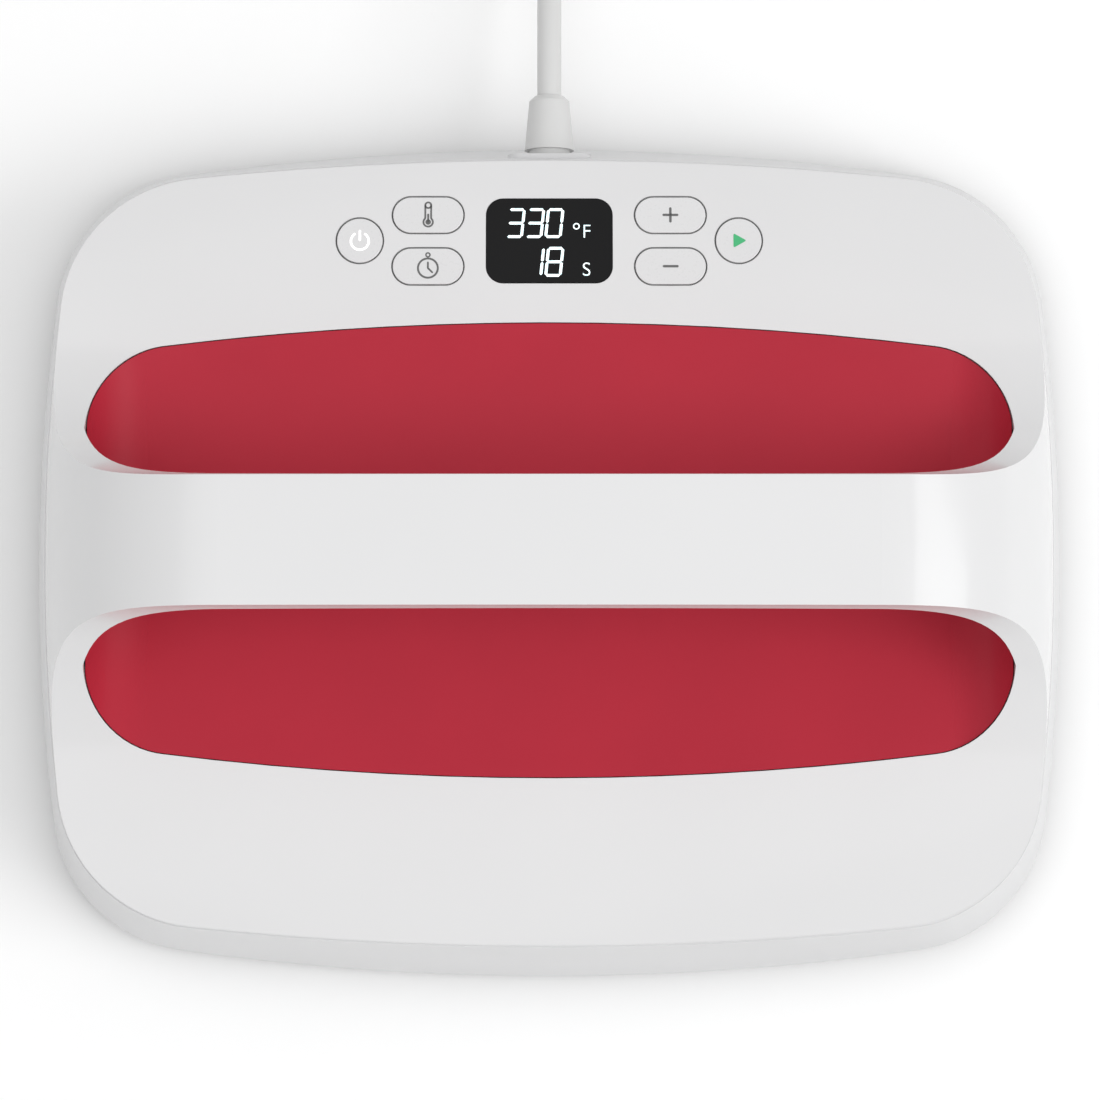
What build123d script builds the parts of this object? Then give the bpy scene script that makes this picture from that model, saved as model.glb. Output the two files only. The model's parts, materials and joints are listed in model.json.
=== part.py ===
from build123d import *
import math
import os

# A handheld heat press: a hot plate under a moulded case, with an arched carrying handle.
# Millimetres. +X runs along the handle, +Y to the back where the cord leaves, +Z up.
# The origin is under the centre of the body, on the surface that the hot plate rests on.

# Case: each plan outline is eight tangent arcs, given by half sizes and radii
total_height = 117.0
wall = 2.8
fit_gap = 0.3
foot_z = 9.0
foot_half_width = 163.3
foot_half_depth = 132.3
foot_end_radius = 840.0
foot_corner_radius = 47.0
parting_z = 58.0
rim_half_width = 155.4
rim_half_depth = 121.5
rim_end_radius = 1050.0
rim_corner_radius = 46.0
side_radius = 660.0
parting_step = 0.6

# Top cover: crowned deck, concave flares up to the handle, round shoulders
deck_radius = 660.0
deck_apex = 71.0
flare_radius = 50.0
handle_width = 38.4
shoulder_radius = 58.5
shoulder_x = 96.3
shoulder_sweep = 14.0
crown_radius = 4000.0
band_top = 68.0
seam_tolerance = 0.01
lip_depth = 4.0
lip_wall = 1.6
lip_root = 1.2

# Grip: a dish for the fingers and the core of the arch, in the opening of the cover
ring_width = 7.5
recess_half_width = 141.0
recess_half_depth = 69.8
recess_side_radius = 4000.0
recess_end_radius = 950.0
recess_corner_radius = 26.0
dish_floor_z = 49.8
dish_radius = 148.0
dish_floor_radius = 1800.0
dish_end_radius = 18.0
dish_edge_land = 0.4
dish_wall = 2.6
leg_bulge = 6.5
grip_bulge = 12.0
leg_core_half_width = 38.0
core_back = 3.0
core_turns = (-2, 27, 48, 68, 88)
core_fullness = (0.0, 0.0, 0.27, 0.64, 0.91)
bar_half_length = 118.0
bar_split_z = 85.0

# Lower housing
floor_z = 26.0
floor_wall = 2.8
cord_boss_width = 26.0
cord_boss_height = 22.0
cord_boss_round = 4.0
cord_boss_setback = 1.0

# Fasteners
post_radius = 3.6
screw_radius = 1.3
screw_head_radius = 2.6
screw_head_height = 1.8
screw_reach = 11.0
cover_post_inset = 10.2
cover_post_x = rim_half_width - cover_post_inset
cover_post_y = 58.0
grip_post_x = 90.0
grip_post_y = 30.0
standoff_radius = 5.0
standoff_x_inner = 42.0
standoff_inset_x = 49.3
standoff_inset_y = 44.3
standoff_x_outer = foot_half_width - standoff_inset_x
standoff_y = foot_half_depth - standoff_inset_y

# Hot plate, its element and the layers over it
plate_margin_x = 10.8
plate_margin_y = 5.3
plate_half_width = foot_half_width - plate_margin_x
plate_half_depth = foot_half_depth - plate_margin_y
plate_end_radius = 830.0
plate_corner_radius = 41.0
plate_thickness = 8.0
plate_edge_round = 1.5
element_radius = 3.3
element_bend = 12.0
element_margin_x = 24.5
element_margin_y = 26.0
element_x_outer = plate_half_width - element_margin_x
element_x_inner = 78.0
element_y_outer = plate_half_depth - element_margin_y
element_y_front = 58.0
element_y_back = 34.0
element_end_x = 16.0
element_end_y = 54.0
element_end_shift = 6.0
rib_wall = 2.0
rib_height = 4.0
mat_inset = 5.0
mat_thickness = 6.0
shield_thickness = 0.8
shield_flange = 4.0
slot_half_width = 24.0
slot_front_y = 40.0
slot_back_y = 82.0
lead_slot_width = 24.0
lead_slot_depth = 11.0
lead_slot_offset = 2.0
surround_low_z = 5.0
surround_high_z = 9.8
surround_lap = 5.0
surround_flange = 1.5
surround_gap = 0.45
collar_radius = 3.0
collar_length = 5.0
tab_size = 3.0
tab_top_z = 20.0
cutoff_radius = 7.0
cutoff_height = 8.0
cutoff_y = 72.0
cutoff_tab_x = 4.0
cutoff_tab_rise = 2.0
sensor_radius = 4.0
sensor_height = 4.5
sensor_y = 50.0

# Control panel on the back half of the deck
panel_y = 95.4
display_width = 39.1
display_depth = 27.2
display_corner = 5.4
round_button_radius = 7.05
round_button_x = 58.3
pill_width = 21.7
pill_depth = 11.4
pill_x = 37.3
pill_pitch = 16.2
button_gap = 0.25
button_proud = 0.2
button_flange = 1.0
button_lap = 1.0
button_travel = 0.6
button_edge = 0.3
plunger_radius = 1.6
plunger_length = 1.9
lens_lap = 1.2
lens_plate = 1.0
gasket_height = 0.8
gasket_width = 2.0
board_drop = 10.4
board_thickness = 1.6
board_width = 150.0
board_depth = 38.0
board_corner = 3.0
board_post_radius = 2.8
board_screw_head = 2.0
board_screw_reach = 5.0
board_post_inset_x = 5.0
board_post_inset_y = 4.0
switch_size = 6.0
switch_height = 3.0
actuator_radius = 1.7
actuator_height = 0.4
buzzer_x = 20.0
buzzer_radius = 6.0
buzzer_height = 5.0

# Power board on the housing floor
power_x = -62.0
power_y = 92.0
power_width = 96.0
power_depth = 42.0
power_stand = 4.0
power_inset = 4.0
power_post_radius = 3.0
relay_size = (20.0, 16.0, 12.0)
relay_place = (-60.0, 98.0)
relay_round = 1.0
transformer_size = (26.0, 22.0, 13.0)
transformer_place = (-91.0, 94.0)
bobbin_size = (14.3, 27.0, 10.0)
fuse_radius = 2.6
fuse_length = 20.0
fuse_place = (-72.0, 78.5)
fuse_clip_size = (4.0, 6.8, 3.6)
fuse_clip_inset = 2.5
terminal_size = (24.0, 12.0, 10.0)
terminal_place = (-27.0, 90.0)
terminal_bevel = 1.5
header_size = (10.0, 5.0, 5.0)
header_place = (-42.0, 105.0)
ribbon_width = 8.0
ribbon_thickness = 0.9
ribbon_offset = 3.0
ribbon_stub = 2.0
plug_in_size = (8.0, 6.0, 5.0)
plug_in_place = (-48.0, 75.0)
wire_radius = 1.1
wire_bend = 3.5
wire_z = 40.0
block_wire_x = 5.0
lead_slant = 16.0
jumper_rise = 4.0
sensor_wire_rise = 2.5
mains_wire_pitch = 2.4
mains_entry_pitch = 3.0

# Power cord, from the strain relief to the plug
cord_radius = 3.8
cord_axis_z = 38.0
arc_share = 0.45
relief_neck_radius = 6.4
relief_base_radius = 7.75
relief_shoulder_radius = 6.3
relief_flange_radius = 8.2
relief_flange = 2.3
relief_neck_length = 2.5
relief_cone_length = 15.6
relief_tip_length = 1.6
relief_lip = 0.8
clamp_setback = 12.3
clamp_width = 6.0
clamp_height = 5.5
clamp_round = 2.0
clamp_screw_x = 9.0
clamp_boss_radius = 3.2
sheath_setback = 18.3
coil_pitch = 8.1
coil_outer_radius = 54.0
coil_half_turns = 5
coil_lift = 1.05
lead_exit_run = 27.0
lead_drop_run = 61.0
lead_drop = 21.0
lead_floor_run = 96.0
coil_entry_run = 123.4
tie_width = 10.0
tie_thickness = 0.8
tie_corner = 4.0
tie_turn = 205.0
tail_length = 26.0
tail_slant = 5.0
plug_length = 34.0
plug_width = 25.0
plug_height = 22.0
plug_round = 6.0
plug_taper = 0.7
plug_taper_length = 11.9
plug_neck_length = 16.0
plug_neck_radius = 5.6
blade_spacing = 12.7
blade_width = 6.35
blade_thickness = 1.5
blade_length = 16.0
pin_radius = 2.4
pin_length = 18.6
pin_rise = 11.9

os.makedirs("parts", exist_ok=True)


def save(shape, node):
    """Write one node to its own STEP file."""
    solids = shape.solids()
    body = solids[0] if len(solids) == 1 else Compound(children=list(solids))
    export_step(body, f"parts/{node}.step")


def save_all(shapes, node):
    """Write several loose solids as one node."""
    solids = []
    for shape in shapes:
        solids.extend(shape.solids())
    export_step(Compound(children=solids), f"parts/{node}.step")


def arc_outline(half_w, half_d, side_r, end_r, corner_r, z):
    """Plan outline of eight tangent arcs, as a face at height z."""
    side_x = half_w - side_r
    end_y = half_d - end_r
    to_side = side_r - corner_r
    to_end = end_r - corner_r
    span = math.hypot(side_x, end_y)
    along = (to_side**2 - to_end**2 + span**2) / (2 * span)
    across = math.sqrt(to_side**2 - along**2)
    ux = -side_x / span
    uy = end_y / span
    cx = side_x + along * ux - across * uy
    cy = along * uy + across * ux
    side_end = (side_x + (cx - side_x) * side_r / to_side, cy * side_r / to_side)
    end_end = (cx * end_r / to_end, end_y + (cy - end_y) * end_r / to_end)
    middle = (math.atan2(cy, cx - side_x) + math.atan2(cy - end_y, cx)) / 2
    corner = (cx + corner_r * math.cos(middle), cy + corner_r * math.sin(middle))
    far_side_end = (-side_end[0], side_end[1])
    half = [
        ThreePointArc((side_end[0], -side_end[1]), (half_w, 0), side_end),
        ThreePointArc(side_end, corner, end_end),
        ThreePointArc(end_end, (0, half_d), (-end_end[0], end_end[1])),
        ThreePointArc((-end_end[0], end_end[1]), (-corner[0], corner[1]), far_side_end),
    ]
    other = [edge.rotate(Axis.Z, 180) for edge in half]
    return Pos(0, 0, z) * Face(Wire(half + other))


def skirt_face(z, inset):
    """Plan outline of the leaning skirt at height z, inset by a wall."""
    share = (z - foot_z) / (parting_z - foot_z)
    return arc_outline(
        foot_half_width + share * (rim_half_width - foot_half_width) - inset,
        foot_half_depth + share * (rim_half_depth - foot_half_depth) - inset,
        side_radius - inset,
        foot_end_radius + share * (rim_end_radius - foot_end_radius) - inset,
        foot_corner_radius + share * (rim_corner_radius - foot_corner_radius) - inset,
        z,
    )


def skirt_body(z_low, z_high, inset):
    """Solid between two levels of the skirt."""
    return loft([skirt_face(z_low, inset), skirt_face(z_high, inset)], ruled=True)


def cover_face(z, inset):
    """Plan outline of the top cover at height z, inset by a wall."""
    step = parting_step + inset
    return arc_outline(
        rim_half_width - step,
        rim_half_depth - step,
        side_radius - step,
        rim_end_radius - step,
        rim_corner_radius - step,
        z,
    )


def plate_face(z, inset):
    """Plan outline of the hot plate and of what is cut to match it."""
    return arc_outline(
        plate_half_width - inset,
        plate_half_depth - inset,
        side_radius - inset,
        plate_end_radius - inset,
        plate_corner_radius - inset,
        z,
    )


crown_centre_z = total_height - crown_radius
shoulder_z = crown_centre_z + math.sqrt((crown_radius - shoulder_radius) ** 2 - shoulder_x**2)


def shoulder_lean(z, inset):
    """How far the rounded shoulder has moved inwards at height z."""
    radius = shoulder_radius - inset
    rise = max(z - shoulder_z, 0)
    return radius - math.sqrt(radius**2 - rise**2)


def shoulder_face(inset):
    """Half of the arch's front profile above the band, in the XZ plane."""
    radius = shoulder_radius - inset
    crown = crown_radius - inset
    foot_turn = math.asin((band_top - shoulder_z) / radius)
    foot = (shoulder_x + radius * math.cos(foot_turn), 0, band_top)
    end_turn = math.atan2(shoulder_z - crown_centre_z, shoulder_x)
    end = (crown * math.cos(end_turn), 0, crown_centre_z + crown * math.sin(end_turn))
    mid_turn = (foot_turn + end_turn) / 2
    mid = (shoulder_x + radius * math.cos(mid_turn), 0, shoulder_z + radius * math.sin(mid_turn))
    crown_turn = (end_turn + math.pi / 2) / 2
    crown_mid = (crown * math.cos(crown_turn), 0, crown_centre_z + crown * math.sin(crown_turn))
    top = (0, 0, crown_centre_z + crown)
    edges = [
        Line((0, 0, band_top), foot),
        ThreePointArc(foot, mid, end),
        ThreePointArc(end, crown_mid, top),
        Line(top, (0, 0, band_top)),
    ]
    return Face(Wire(edges))


def arch_body(inset, z_low):
    """Upper case in plan and front view: a low band, then round shoulders up to the handle."""
    levels = (z_low, (parting_z + band_top) / 2, band_top)
    band = loft([cover_face(z, inset + shoulder_lean(z, inset)) for z in levels])
    turn_axis = Axis((rim_half_width - parting_step - side_radius, 0, 0), (0, 0, 1))
    turned = revolve(shoulder_face(inset).rotate(turn_axis, -shoulder_sweep / 2), turn_axis, shoulder_sweep)
    half_space = Pos(foot_half_width, 0, total_height) * Box(
        2 * foot_half_width, 4 * foot_half_depth, 2 * total_height
    )
    right = turned & half_space
    shoulders = right + right.mirror(Plane.YZ)
    return band.fuse(shoulders, tol=seam_tolerance)


deck_centre_z = deck_apex - deck_radius
flare_y = handle_width / 2 + flare_radius
flare_z = deck_centre_z + math.sqrt((deck_radius + flare_radius) ** 2 - flare_y**2)


def deck_height(y):
    """Height of the deck's outer face."""
    return deck_centre_z + math.sqrt(deck_radius**2 - y**2)


def flare_half_width(z):
    """Half width of the handle's flare at height z."""
    return flare_y - math.sqrt(flare_radius**2 - (flare_z - z) ** 2)


def side_form(inset):
    """Upper case in side view: crowned deck, concave flares and the handle's width."""
    deck = deck_radius - inset
    flare = flare_radius + inset
    share = deck / (deck_radius + flare_radius)
    join = (0, flare_y * share, deck_centre_z + (flare_z - deck_centre_z) * share)
    reach = foot_half_depth + wall
    far = (0, reach, deck_centre_z + math.sqrt(deck**2 - reach**2))
    mid_y = (reach + join[1]) / 2
    deck_mid = (0, mid_y, deck_centre_z + math.sqrt(deck**2 - mid_y**2))
    turn = (math.atan2(join[2] - flare_z, join[1] - flare_y) - math.pi) / 2
    flare_mid = (0, flare_y + flare * math.cos(turn), flare_z + flare * math.sin(turn))
    neck = (0, flare_y - flare, flare_z)
    roof = total_height + wall
    half = [
        Line((0, 0, 0), (0, reach, 0)),
        Line((0, reach, 0), far),
        ThreePointArc(far, deck_mid, join),
        ThreePointArc(join, flare_mid, neck),
        Line(neck, (0, neck[1], roof)),
        Line((0, neck[1], roof), (0, 0, roof)),
    ]
    other = [edge.mirror(Plane.XZ) for edge in half]
    return extrude(Face(Wire(half + other)), foot_half_width + wall, dir=(1, 0, 0), both=True)


def recess_prism(inset):
    """Upright prism on the plan outline of the grip recess."""
    face = arc_outline(
        recess_half_width - inset,
        recess_half_depth - inset,
        recess_side_radius,
        recess_end_radius,
        recess_corner_radius - inset,
        floor_z,
    )
    return extrude(face, total_height)


def deck_plane(x, y):
    """Plane that touches the deck at x, y, with its normal pointing out."""
    tilt = math.asin(y / deck_radius)
    return Plane(origin=(x, y, deck_height(y)), x_dir=(1, 0, 0), z_dir=(0, math.sin(tilt), math.cos(tilt)))


def rod(radius, z_low, z_high, x=0.0, y=0.0):
    """Upright cylinder between two heights."""
    return Pos(x, y, (z_low + z_high) / 2) * Cylinder(radius, z_high - z_low)


def slab(width, depth, z_low, z_high, x=0.0, y=0.0):
    """Upright block between two heights."""
    return Pos(x, y, (z_low + z_high) / 2) * Box(width, depth, z_high - z_low)


def wire_run(points, bend, radius):
    """Round wire or tube along straight runs joined by arcs."""
    path = FilletPolyline(*points, radius=bend)
    return sweep(Plane(path @ 0, z_dir=path % 0) * Circle(radius), path)


def corners(x, y):
    """Four places, mirrored in X and Y."""
    return [(sx * x, sy * y) for sx in (-1, 1) for sy in (-1, 1)]


# Levels that follow from the sizes above
floor_top = floor_z + floor_wall
recess_low_z = dish_floor_z - 2 * dish_wall
element_z = plate_thickness + fit_gap + element_radius
mat_low = element_z + element_radius + fit_gap
mat_high = mat_low + mat_thickness
shield_high = mat_high + shield_thickness
shank_gap = fit_gap
cover_posts = corners(cover_post_x, cover_post_y)
grip_posts = corners(grip_post_x, grip_post_y)
standoffs = corners(standoff_x_inner, standoff_y) + corners(standoff_x_outer, standoff_y)
cord_share = (cord_axis_z - foot_z) / (parting_z - foot_z)
cord_wall_y = foot_half_depth + cord_share * (rim_half_depth - foot_half_depth)
boss_face_y = cord_wall_y - cord_boss_setback
boss_back_y = boss_face_y - 2 * wall
clamp_y = boss_back_y - clamp_setback
sheath_end_y = boss_back_y - sheath_setback
relief_base_y = boss_face_y + relief_neck_length
relief_shoulder_y = relief_base_y + relief_cone_length
relief_tip_y = relief_shoulder_y + relief_tip_length
coil_entry_y = relief_tip_y + coil_entry_run


def screw_hole(x, y):
    """Hole up into a post for a screw that comes from below."""
    return rod(screw_radius + shank_gap, floor_top - 1, floor_top + screw_reach, x, y)


# Top cover: shell, opening for the grip and a lip that drops into the housing
def moulded_shell():
    """Outer form less the inner form and the opening for the grip."""
    outer = arch_body(0, parting_z) & side_form(0)
    inner = arch_body(wall, parting_z - 1) & side_form(wall)
    opening = arch_body(ring_width, recess_low_z) & recess_prism(0)
    return outer - inner - opening


def register_lip():
    """Thin lip inside the parting line, rooted in the wall."""
    inset = wall + fit_gap - parting_step
    low = parting_z - lip_depth
    outer = extrude(cover_face(low, inset), lip_depth)
    outer += extrude(cover_face(parting_z, wall / 2), lip_root)
    return outer - extrude(cover_face(low, inset + lip_wall), 2 * lip_depth)


def cover_screw_posts():
    """Four posts from the deck down to the housing floor."""
    room = arch_body(wall / 2, parting_z - 1) & side_form(wall / 2)
    posts = []
    for x, y in cover_posts:
        low = rod(post_radius, floor_top, parting_z, x, y)
        high = rod(post_radius, parting_z, deck_apex, x, y) & room
        posts.append(low + high - screw_hole(x, y))
    return posts


cover = moulded_shell() + register_lip()
for post in cover_screw_posts():
    cover += post

panel = deck_plane(0, panel_y)
half_pitch = pill_pitch / 2
buttons = {
    "power_button": (-round_button_x, panel_y, True),
    "temperature_button": (-pill_x, panel_y + half_pitch, False),
    "timer_button": (-pill_x, panel_y - half_pitch, False),
    "plus_button": (pill_x, panel_y + half_pitch, False),
    "minus_button": (pill_x, panel_y - half_pitch, False),
    "start_button": (round_button_x, panel_y, True),
}


def button_outline(is_round, grow):
    """Face of a button, grown by a margin."""
    if is_round:
        return Circle(round_button_radius + grow)
    return SlotOverall(pill_width + 2 * grow, pill_depth + 2 * grow)


cover -= panel * extrude(RectangleRounded(display_width, display_depth, display_corner), 2 * wall, both=True)
for x, y, is_round in buttons.values():
    cover -= deck_plane(x, y) * extrude(button_outline(is_round, button_gap), 2 * wall, both=True)

board_places = corners(board_width / 2 - board_post_inset_x, board_depth / 2 - board_post_inset_y)
for x, y in board_places:
    post = rod(board_post_radius, -board_drop, -wall / 2, x, y)
    cover += panel * (post - rod(screw_radius, -board_drop - 1, board_screw_reach + 1 - board_drop, x, y))
save(cover, "top_cover")


# Grip: the dish and arch core are one moulding, cut where the bar under the hand begins
def dish(thickness):
    """Dish turned about an axis along X; thickness grows it outwards."""
    axis_z = dish_floor_z + dish_radius
    end = dish_end_radius + thickness
    floor = dish_floor_radius + thickness
    centre_x = recess_half_width - dish_edge_land - dish_end_radius
    floor_centre = dish_floor_z + dish_floor_radius
    centre_z = floor_centre - math.sqrt((dish_floor_radius - dish_end_radius) ** 2 - centre_x**2)
    turn = math.atan2(centre_z - floor_centre, centre_x)
    join = (floor * math.cos(turn), 0, floor_centre + floor * math.sin(turn))
    half_turn = (turn - math.pi / 2) / 2
    floor_mid = (floor * math.cos(half_turn), 0, floor_centre + floor * math.sin(half_turn))
    end_mid = (centre_x + end * math.cos(turn / 2), 0, centre_z + end * math.sin(turn / 2))
    end_top = (centre_x + end, 0, centre_z)
    half = [
        ThreePointArc((0, 0, dish_floor_z - thickness), floor_mid, join),
        ThreePointArc(join, end_mid, end_top),
        Line(end_top, (end_top[0], 0, axis_z)),
        Line((end_top[0], 0, axis_z), (0, 0, axis_z)),
    ]
    other = [edge.mirror(Plane.YZ) for edge in half]
    return revolve(Face(Wire(half + other)), Axis((0, 0, axis_z), (1, 0, 0)), 360)


def core_section(x, z, turn, half_width, bulge):
    """Bow across the handle, square to the arch at one station."""
    nx = -math.cos(turn)
    nz = -math.sin(turn)
    radius = (half_width**2 + bulge**2) / (2 * bulge)
    half_chord = math.sqrt(radius**2 - (radius - bulge - core_back) ** 2)
    low = (x - core_back * nx, -half_chord, z - core_back * nz)
    high = (x - core_back * nx, half_chord, z - core_back * nz)
    middle = (x + bulge * nx, 0, z + bulge * nz)
    return Face(Wire([ThreePointArc(low, middle, high), Line(high, low)]))


def arch_core():
    """Solid inside the arch: slim at the legs, full where the fingers close."""
    radius = shoulder_radius - ring_width
    crown = crown_radius - ring_width
    growth = grip_bulge - leg_bulge
    right = []
    for degrees, share in zip(core_turns, core_fullness):
        turn = math.radians(degrees)
        x = shoulder_x + radius * math.cos(turn)
        z = shoulder_z + radius * math.sin(turn)
        half_width = flare_half_width(z) if degrees > 0 else leg_core_half_width
        right.append((x, z, turn, half_width, leg_bulge + share * growth))
    for part in (0.75, 0.5, 0.25):
        x = part * shoulder_x
        turn = math.acos(x / crown)
        z = crown_centre_z + crown * math.sin(turn)
        fullness = 1 - (1 - core_fullness[-1]) * part
        right.append((x, z, turn, flare_half_width(z), leg_bulge + fullness * growth))
    left = [(-x, z, math.pi - turn, half_width, bulge) for x, z, turn, half_width, bulge in reversed(right)]
    top = crown_centre_z + crown
    middle = [(0, top, math.pi / 2, flare_half_width(top), grip_bulge)]
    return loft([core_section(*station) for station in right + middle + left])


arch = arch_core()
grip_block = (arch_body(0, recess_low_z) & side_form(0)) & (
    arch_body(ring_width + fit_gap, recess_low_z) & recess_prism(fit_gap)
)
bar_room = slab(2 * (bar_half_length + fit_gap), 4 * handle_width, bar_split_z - fit_gap, total_height)
bar_block = slab(2 * bar_half_length, 4 * handle_width, bar_split_z, total_height)
handle_underside = (grip_block & bar_block) & arch
grip_scoop = ((grip_block - bar_room) & dish(dish_wall)) - (dish(0) - arch)
for x, y in grip_posts:
    post = rod(post_radius, floor_top, parting_z, x, y) - dish(dish_wall / 2)
    grip_scoop += post - screw_hole(x, y)
save(handle_underside, "handle_underside")
save(grip_scoop, "grip_scoop")

# Lower housing: leaning skirt and a floor that carries everything
housing = skirt_body(foot_z, parting_z, 0)
housing -= skirt_body(floor_top, parting_z + 1, wall)
housing -= skirt_body(foot_z - 1, floor_z, wall)
boss_face = Pos(0, boss_face_y, cord_axis_z) * Rot(90, 0, 0) * RectangleRounded(
    cord_boss_width, cord_boss_height, cord_boss_round
)
housing += extrude(boss_face, boss_face_y - boss_back_y)
housing -= Pos(0, boss_face_y, cord_axis_z) * Rot(90, 0, 0) * Cylinder(relief_neck_radius + fit_gap, 8 * wall)
for x, y in cover_posts + grip_posts + standoffs:
    housing -= rod(screw_radius + shank_gap, floor_z - 1, floor_top + 1, x, y)
slot_middle_y = (slot_front_y + slot_back_y) / 2
slot_depth = slot_back_y - slot_front_y
board_low_z = floor_top + power_stand
board_top_z = board_low_z + board_thickness
for x, y in corners(power_width / 2 - power_inset, power_depth / 2 - power_inset):
    stand = rod(power_post_radius, floor_top - 1, board_low_z, power_x + x, power_y + y)
    housing += stand
    housing -= rod(screw_radius, floor_top + 0.4, board_low_z + 1, power_x + x, power_y + y)
clamp_low_z = cord_axis_z + fit_gap
for side in (-1, 1):
    housing += rod(clamp_boss_radius, floor_top - 1, clamp_low_z, side * clamp_screw_x, clamp_y)
    housing -= rod(screw_radius, floor_top + 1, clamp_low_z + 1, side * clamp_screw_x, clamp_y)
housing += slab(2 * cord_radius, clamp_width, floor_top - 1, cord_axis_z - cord_radius - fit_gap, 0, clamp_y)
lead_slot_y = sensor_y - lead_slot_offset
housing -= slab(lead_slot_width, lead_slot_depth, floor_z - 1, floor_top + 1, -element_end_x / 2, lead_slot_y)
housing -= rod(2 * wire_radius, floor_z - 1, floor_top + 1, -cutoff_tab_x, cutoff_y)
relief_room = Rot(-90, 0, 0) * Circle(relief_base_radius + fit_gap)
housing -= extrude(Pos(0, relief_base_y - fit_gap, cord_axis_z) * relief_room, relief_cone_length)
save(housing, "lower_housing")

# Hot plate with a ribbed channel that holds the element
element_points = [
    (-element_end_x, element_end_y, element_z),
    (-element_end_x, element_y_outer, element_z),
    (-element_x_outer, element_y_outer, element_z),
    (-element_x_outer, -element_y_outer, element_z),
    (element_x_outer, -element_y_outer, element_z),
    (element_x_outer, element_y_outer, element_z),
    (element_x_inner, element_y_outer, element_z),
    (element_x_inner, -element_y_front, element_z),
    (-element_x_inner, -element_y_front, element_z),
    (-element_x_inner, element_y_back, element_z),
    (element_end_x, element_y_back, element_z),
    (element_end_x, element_end_y + element_end_shift, element_z),
]
element_path = FilletPolyline(*element_points, radius=element_bend)
element = sweep(Plane(element_path @ 0, z_dir=element_path % 0) * Circle(element_radius), element_path)
save(element, "heating_element")
element_ratio = element.volume / (math.pi * element_radius**2 * element_path.length)
print("element volume over section times length", element_ratio)

plate = extrude(plate_face(0, 0), plate_thickness)
plate = fillet(plate.faces().sort_by(Axis.Z)[0].edges(), plate_edge_round)
channel_path = element_path.moved(Location((0, 0, plate_thickness + rib_height / 2 - element_z)))
channel_plane = Plane(channel_path @ 0, x_dir=(1, 0, 0), z_dir=channel_path % 0)
rib_inner = element_radius + fit_gap
ribs = sweep(channel_plane * Rectangle(2 * (rib_inner + rib_wall), rib_height), channel_path)
ribs -= sweep(channel_plane * Rectangle(2 * rib_inner, 2 * rib_height), channel_path)
plate += ribs
save(plate, "heat_plate")

# Standoffs and the screws that hold the plate to the housing floor
standoff_solids = []
plate_screws = []
for x, y in standoffs:
    sleeve = rod(standoff_radius, plate_thickness, floor_z, x, y)
    standoff_solids.append(sleeve - rod(screw_radius + shank_gap, floor_z - screw_reach, floor_z + 1, x, y))
    head = rod(screw_head_radius, floor_top, floor_top + screw_head_height, x, y)
    plate_screws.append(head + rod(screw_radius, floor_z - screw_reach + 1, floor_top + 0.5, x, y))
save_all(standoff_solids, "plate_standoffs")
save_all(plate_screws, "plate_screws")


def layer_cuts(z_low, z_high):
    """Holes for the standoffs and the slot for the leads."""
    cuts = [slab(2 * slot_half_width, slot_depth, z_low - 1, z_high + 1, 0, slot_middle_y)]
    for x, y in standoffs:
        cuts.append(rod(standoff_radius + fit_gap, z_low - 1, z_high + 1, x, y))
    return cuts


mat = extrude(plate_face(mat_low, mat_inset), mat_thickness)
shield_low = mat_high - shield_flange
shield_inset = mat_inset - fit_gap
shield = extrude(plate_face(shield_low, shield_inset - shield_thickness), shield_flange + shield_thickness)
shield -= extrude(plate_face(shield_low - 1, shield_inset), shield_flange + 1)
for cut in layer_cuts(mat_low, shield_high):
    mat -= cut
    shield -= cut
save(mat, "insulation_mat")
save(shield, "heat_shield")

# Dark surround between the plate's edge and the skirt
surround = extrude(
    arc_outline(
        foot_half_width - wall - surround_gap,
        foot_half_depth - wall - surround_gap,
        side_radius,
        foot_end_radius,
        foot_corner_radius - wall,
        surround_low_z,
    ),
    surround_high_z - surround_low_z,
)
surround_wall_height = surround_high_z - surround_flange - surround_low_z
surround -= extrude(plate_face(surround_low_z - 1, -2 * fit_gap), surround_wall_height + 1)
surround -= extrude(plate_face(surround_low_z - 1, surround_lap), surround_high_z)
save(surround, "plate_surround")

# Ends of the element, thermal cut-off and temperature sensor
tabs = []
element_back_end_y = element_end_y + element_end_shift
for x, y, step in ((-element_end_x, element_end_y, -1), (element_end_x, element_back_end_y, 1)):
    collar_y = y + step * collar_length / 2
    tab_y = y + step * (collar_length + tab_size / 2)
    collar = Pos(x, collar_y, element_z) * Rot(90, 0, 0) * Cylinder(collar_radius, collar_length)
    tab = slab(tab_size, tab_size, element_z - tab_size / 2, tab_top_z, x, tab_y)
    tabs.append(collar + tab)
save_all(tabs, "element_terminals")
tab_reach = collar_length + tab_size / 2
front_tab_y = element_end_y - tab_reach
back_tab_y = element_back_end_y + tab_reach
cutoff = rod(cutoff_radius, plate_thickness, plate_thickness + cutoff_height, 0, cutoff_y)
cutoff_top = plate_thickness + cutoff_height + cutoff_tab_rise
for side in (-1, 1):
    cutoff += slab(tab_size, tab_size, plate_thickness + 1, cutoff_top, side * cutoff_tab_x, cutoff_y)
save(cutoff, "thermal_cutoff")
sensor = rod(sensor_radius, plate_thickness, plate_thickness + sensor_height, 0, sensor_y)
save(sensor, "plate_sensor")

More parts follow.
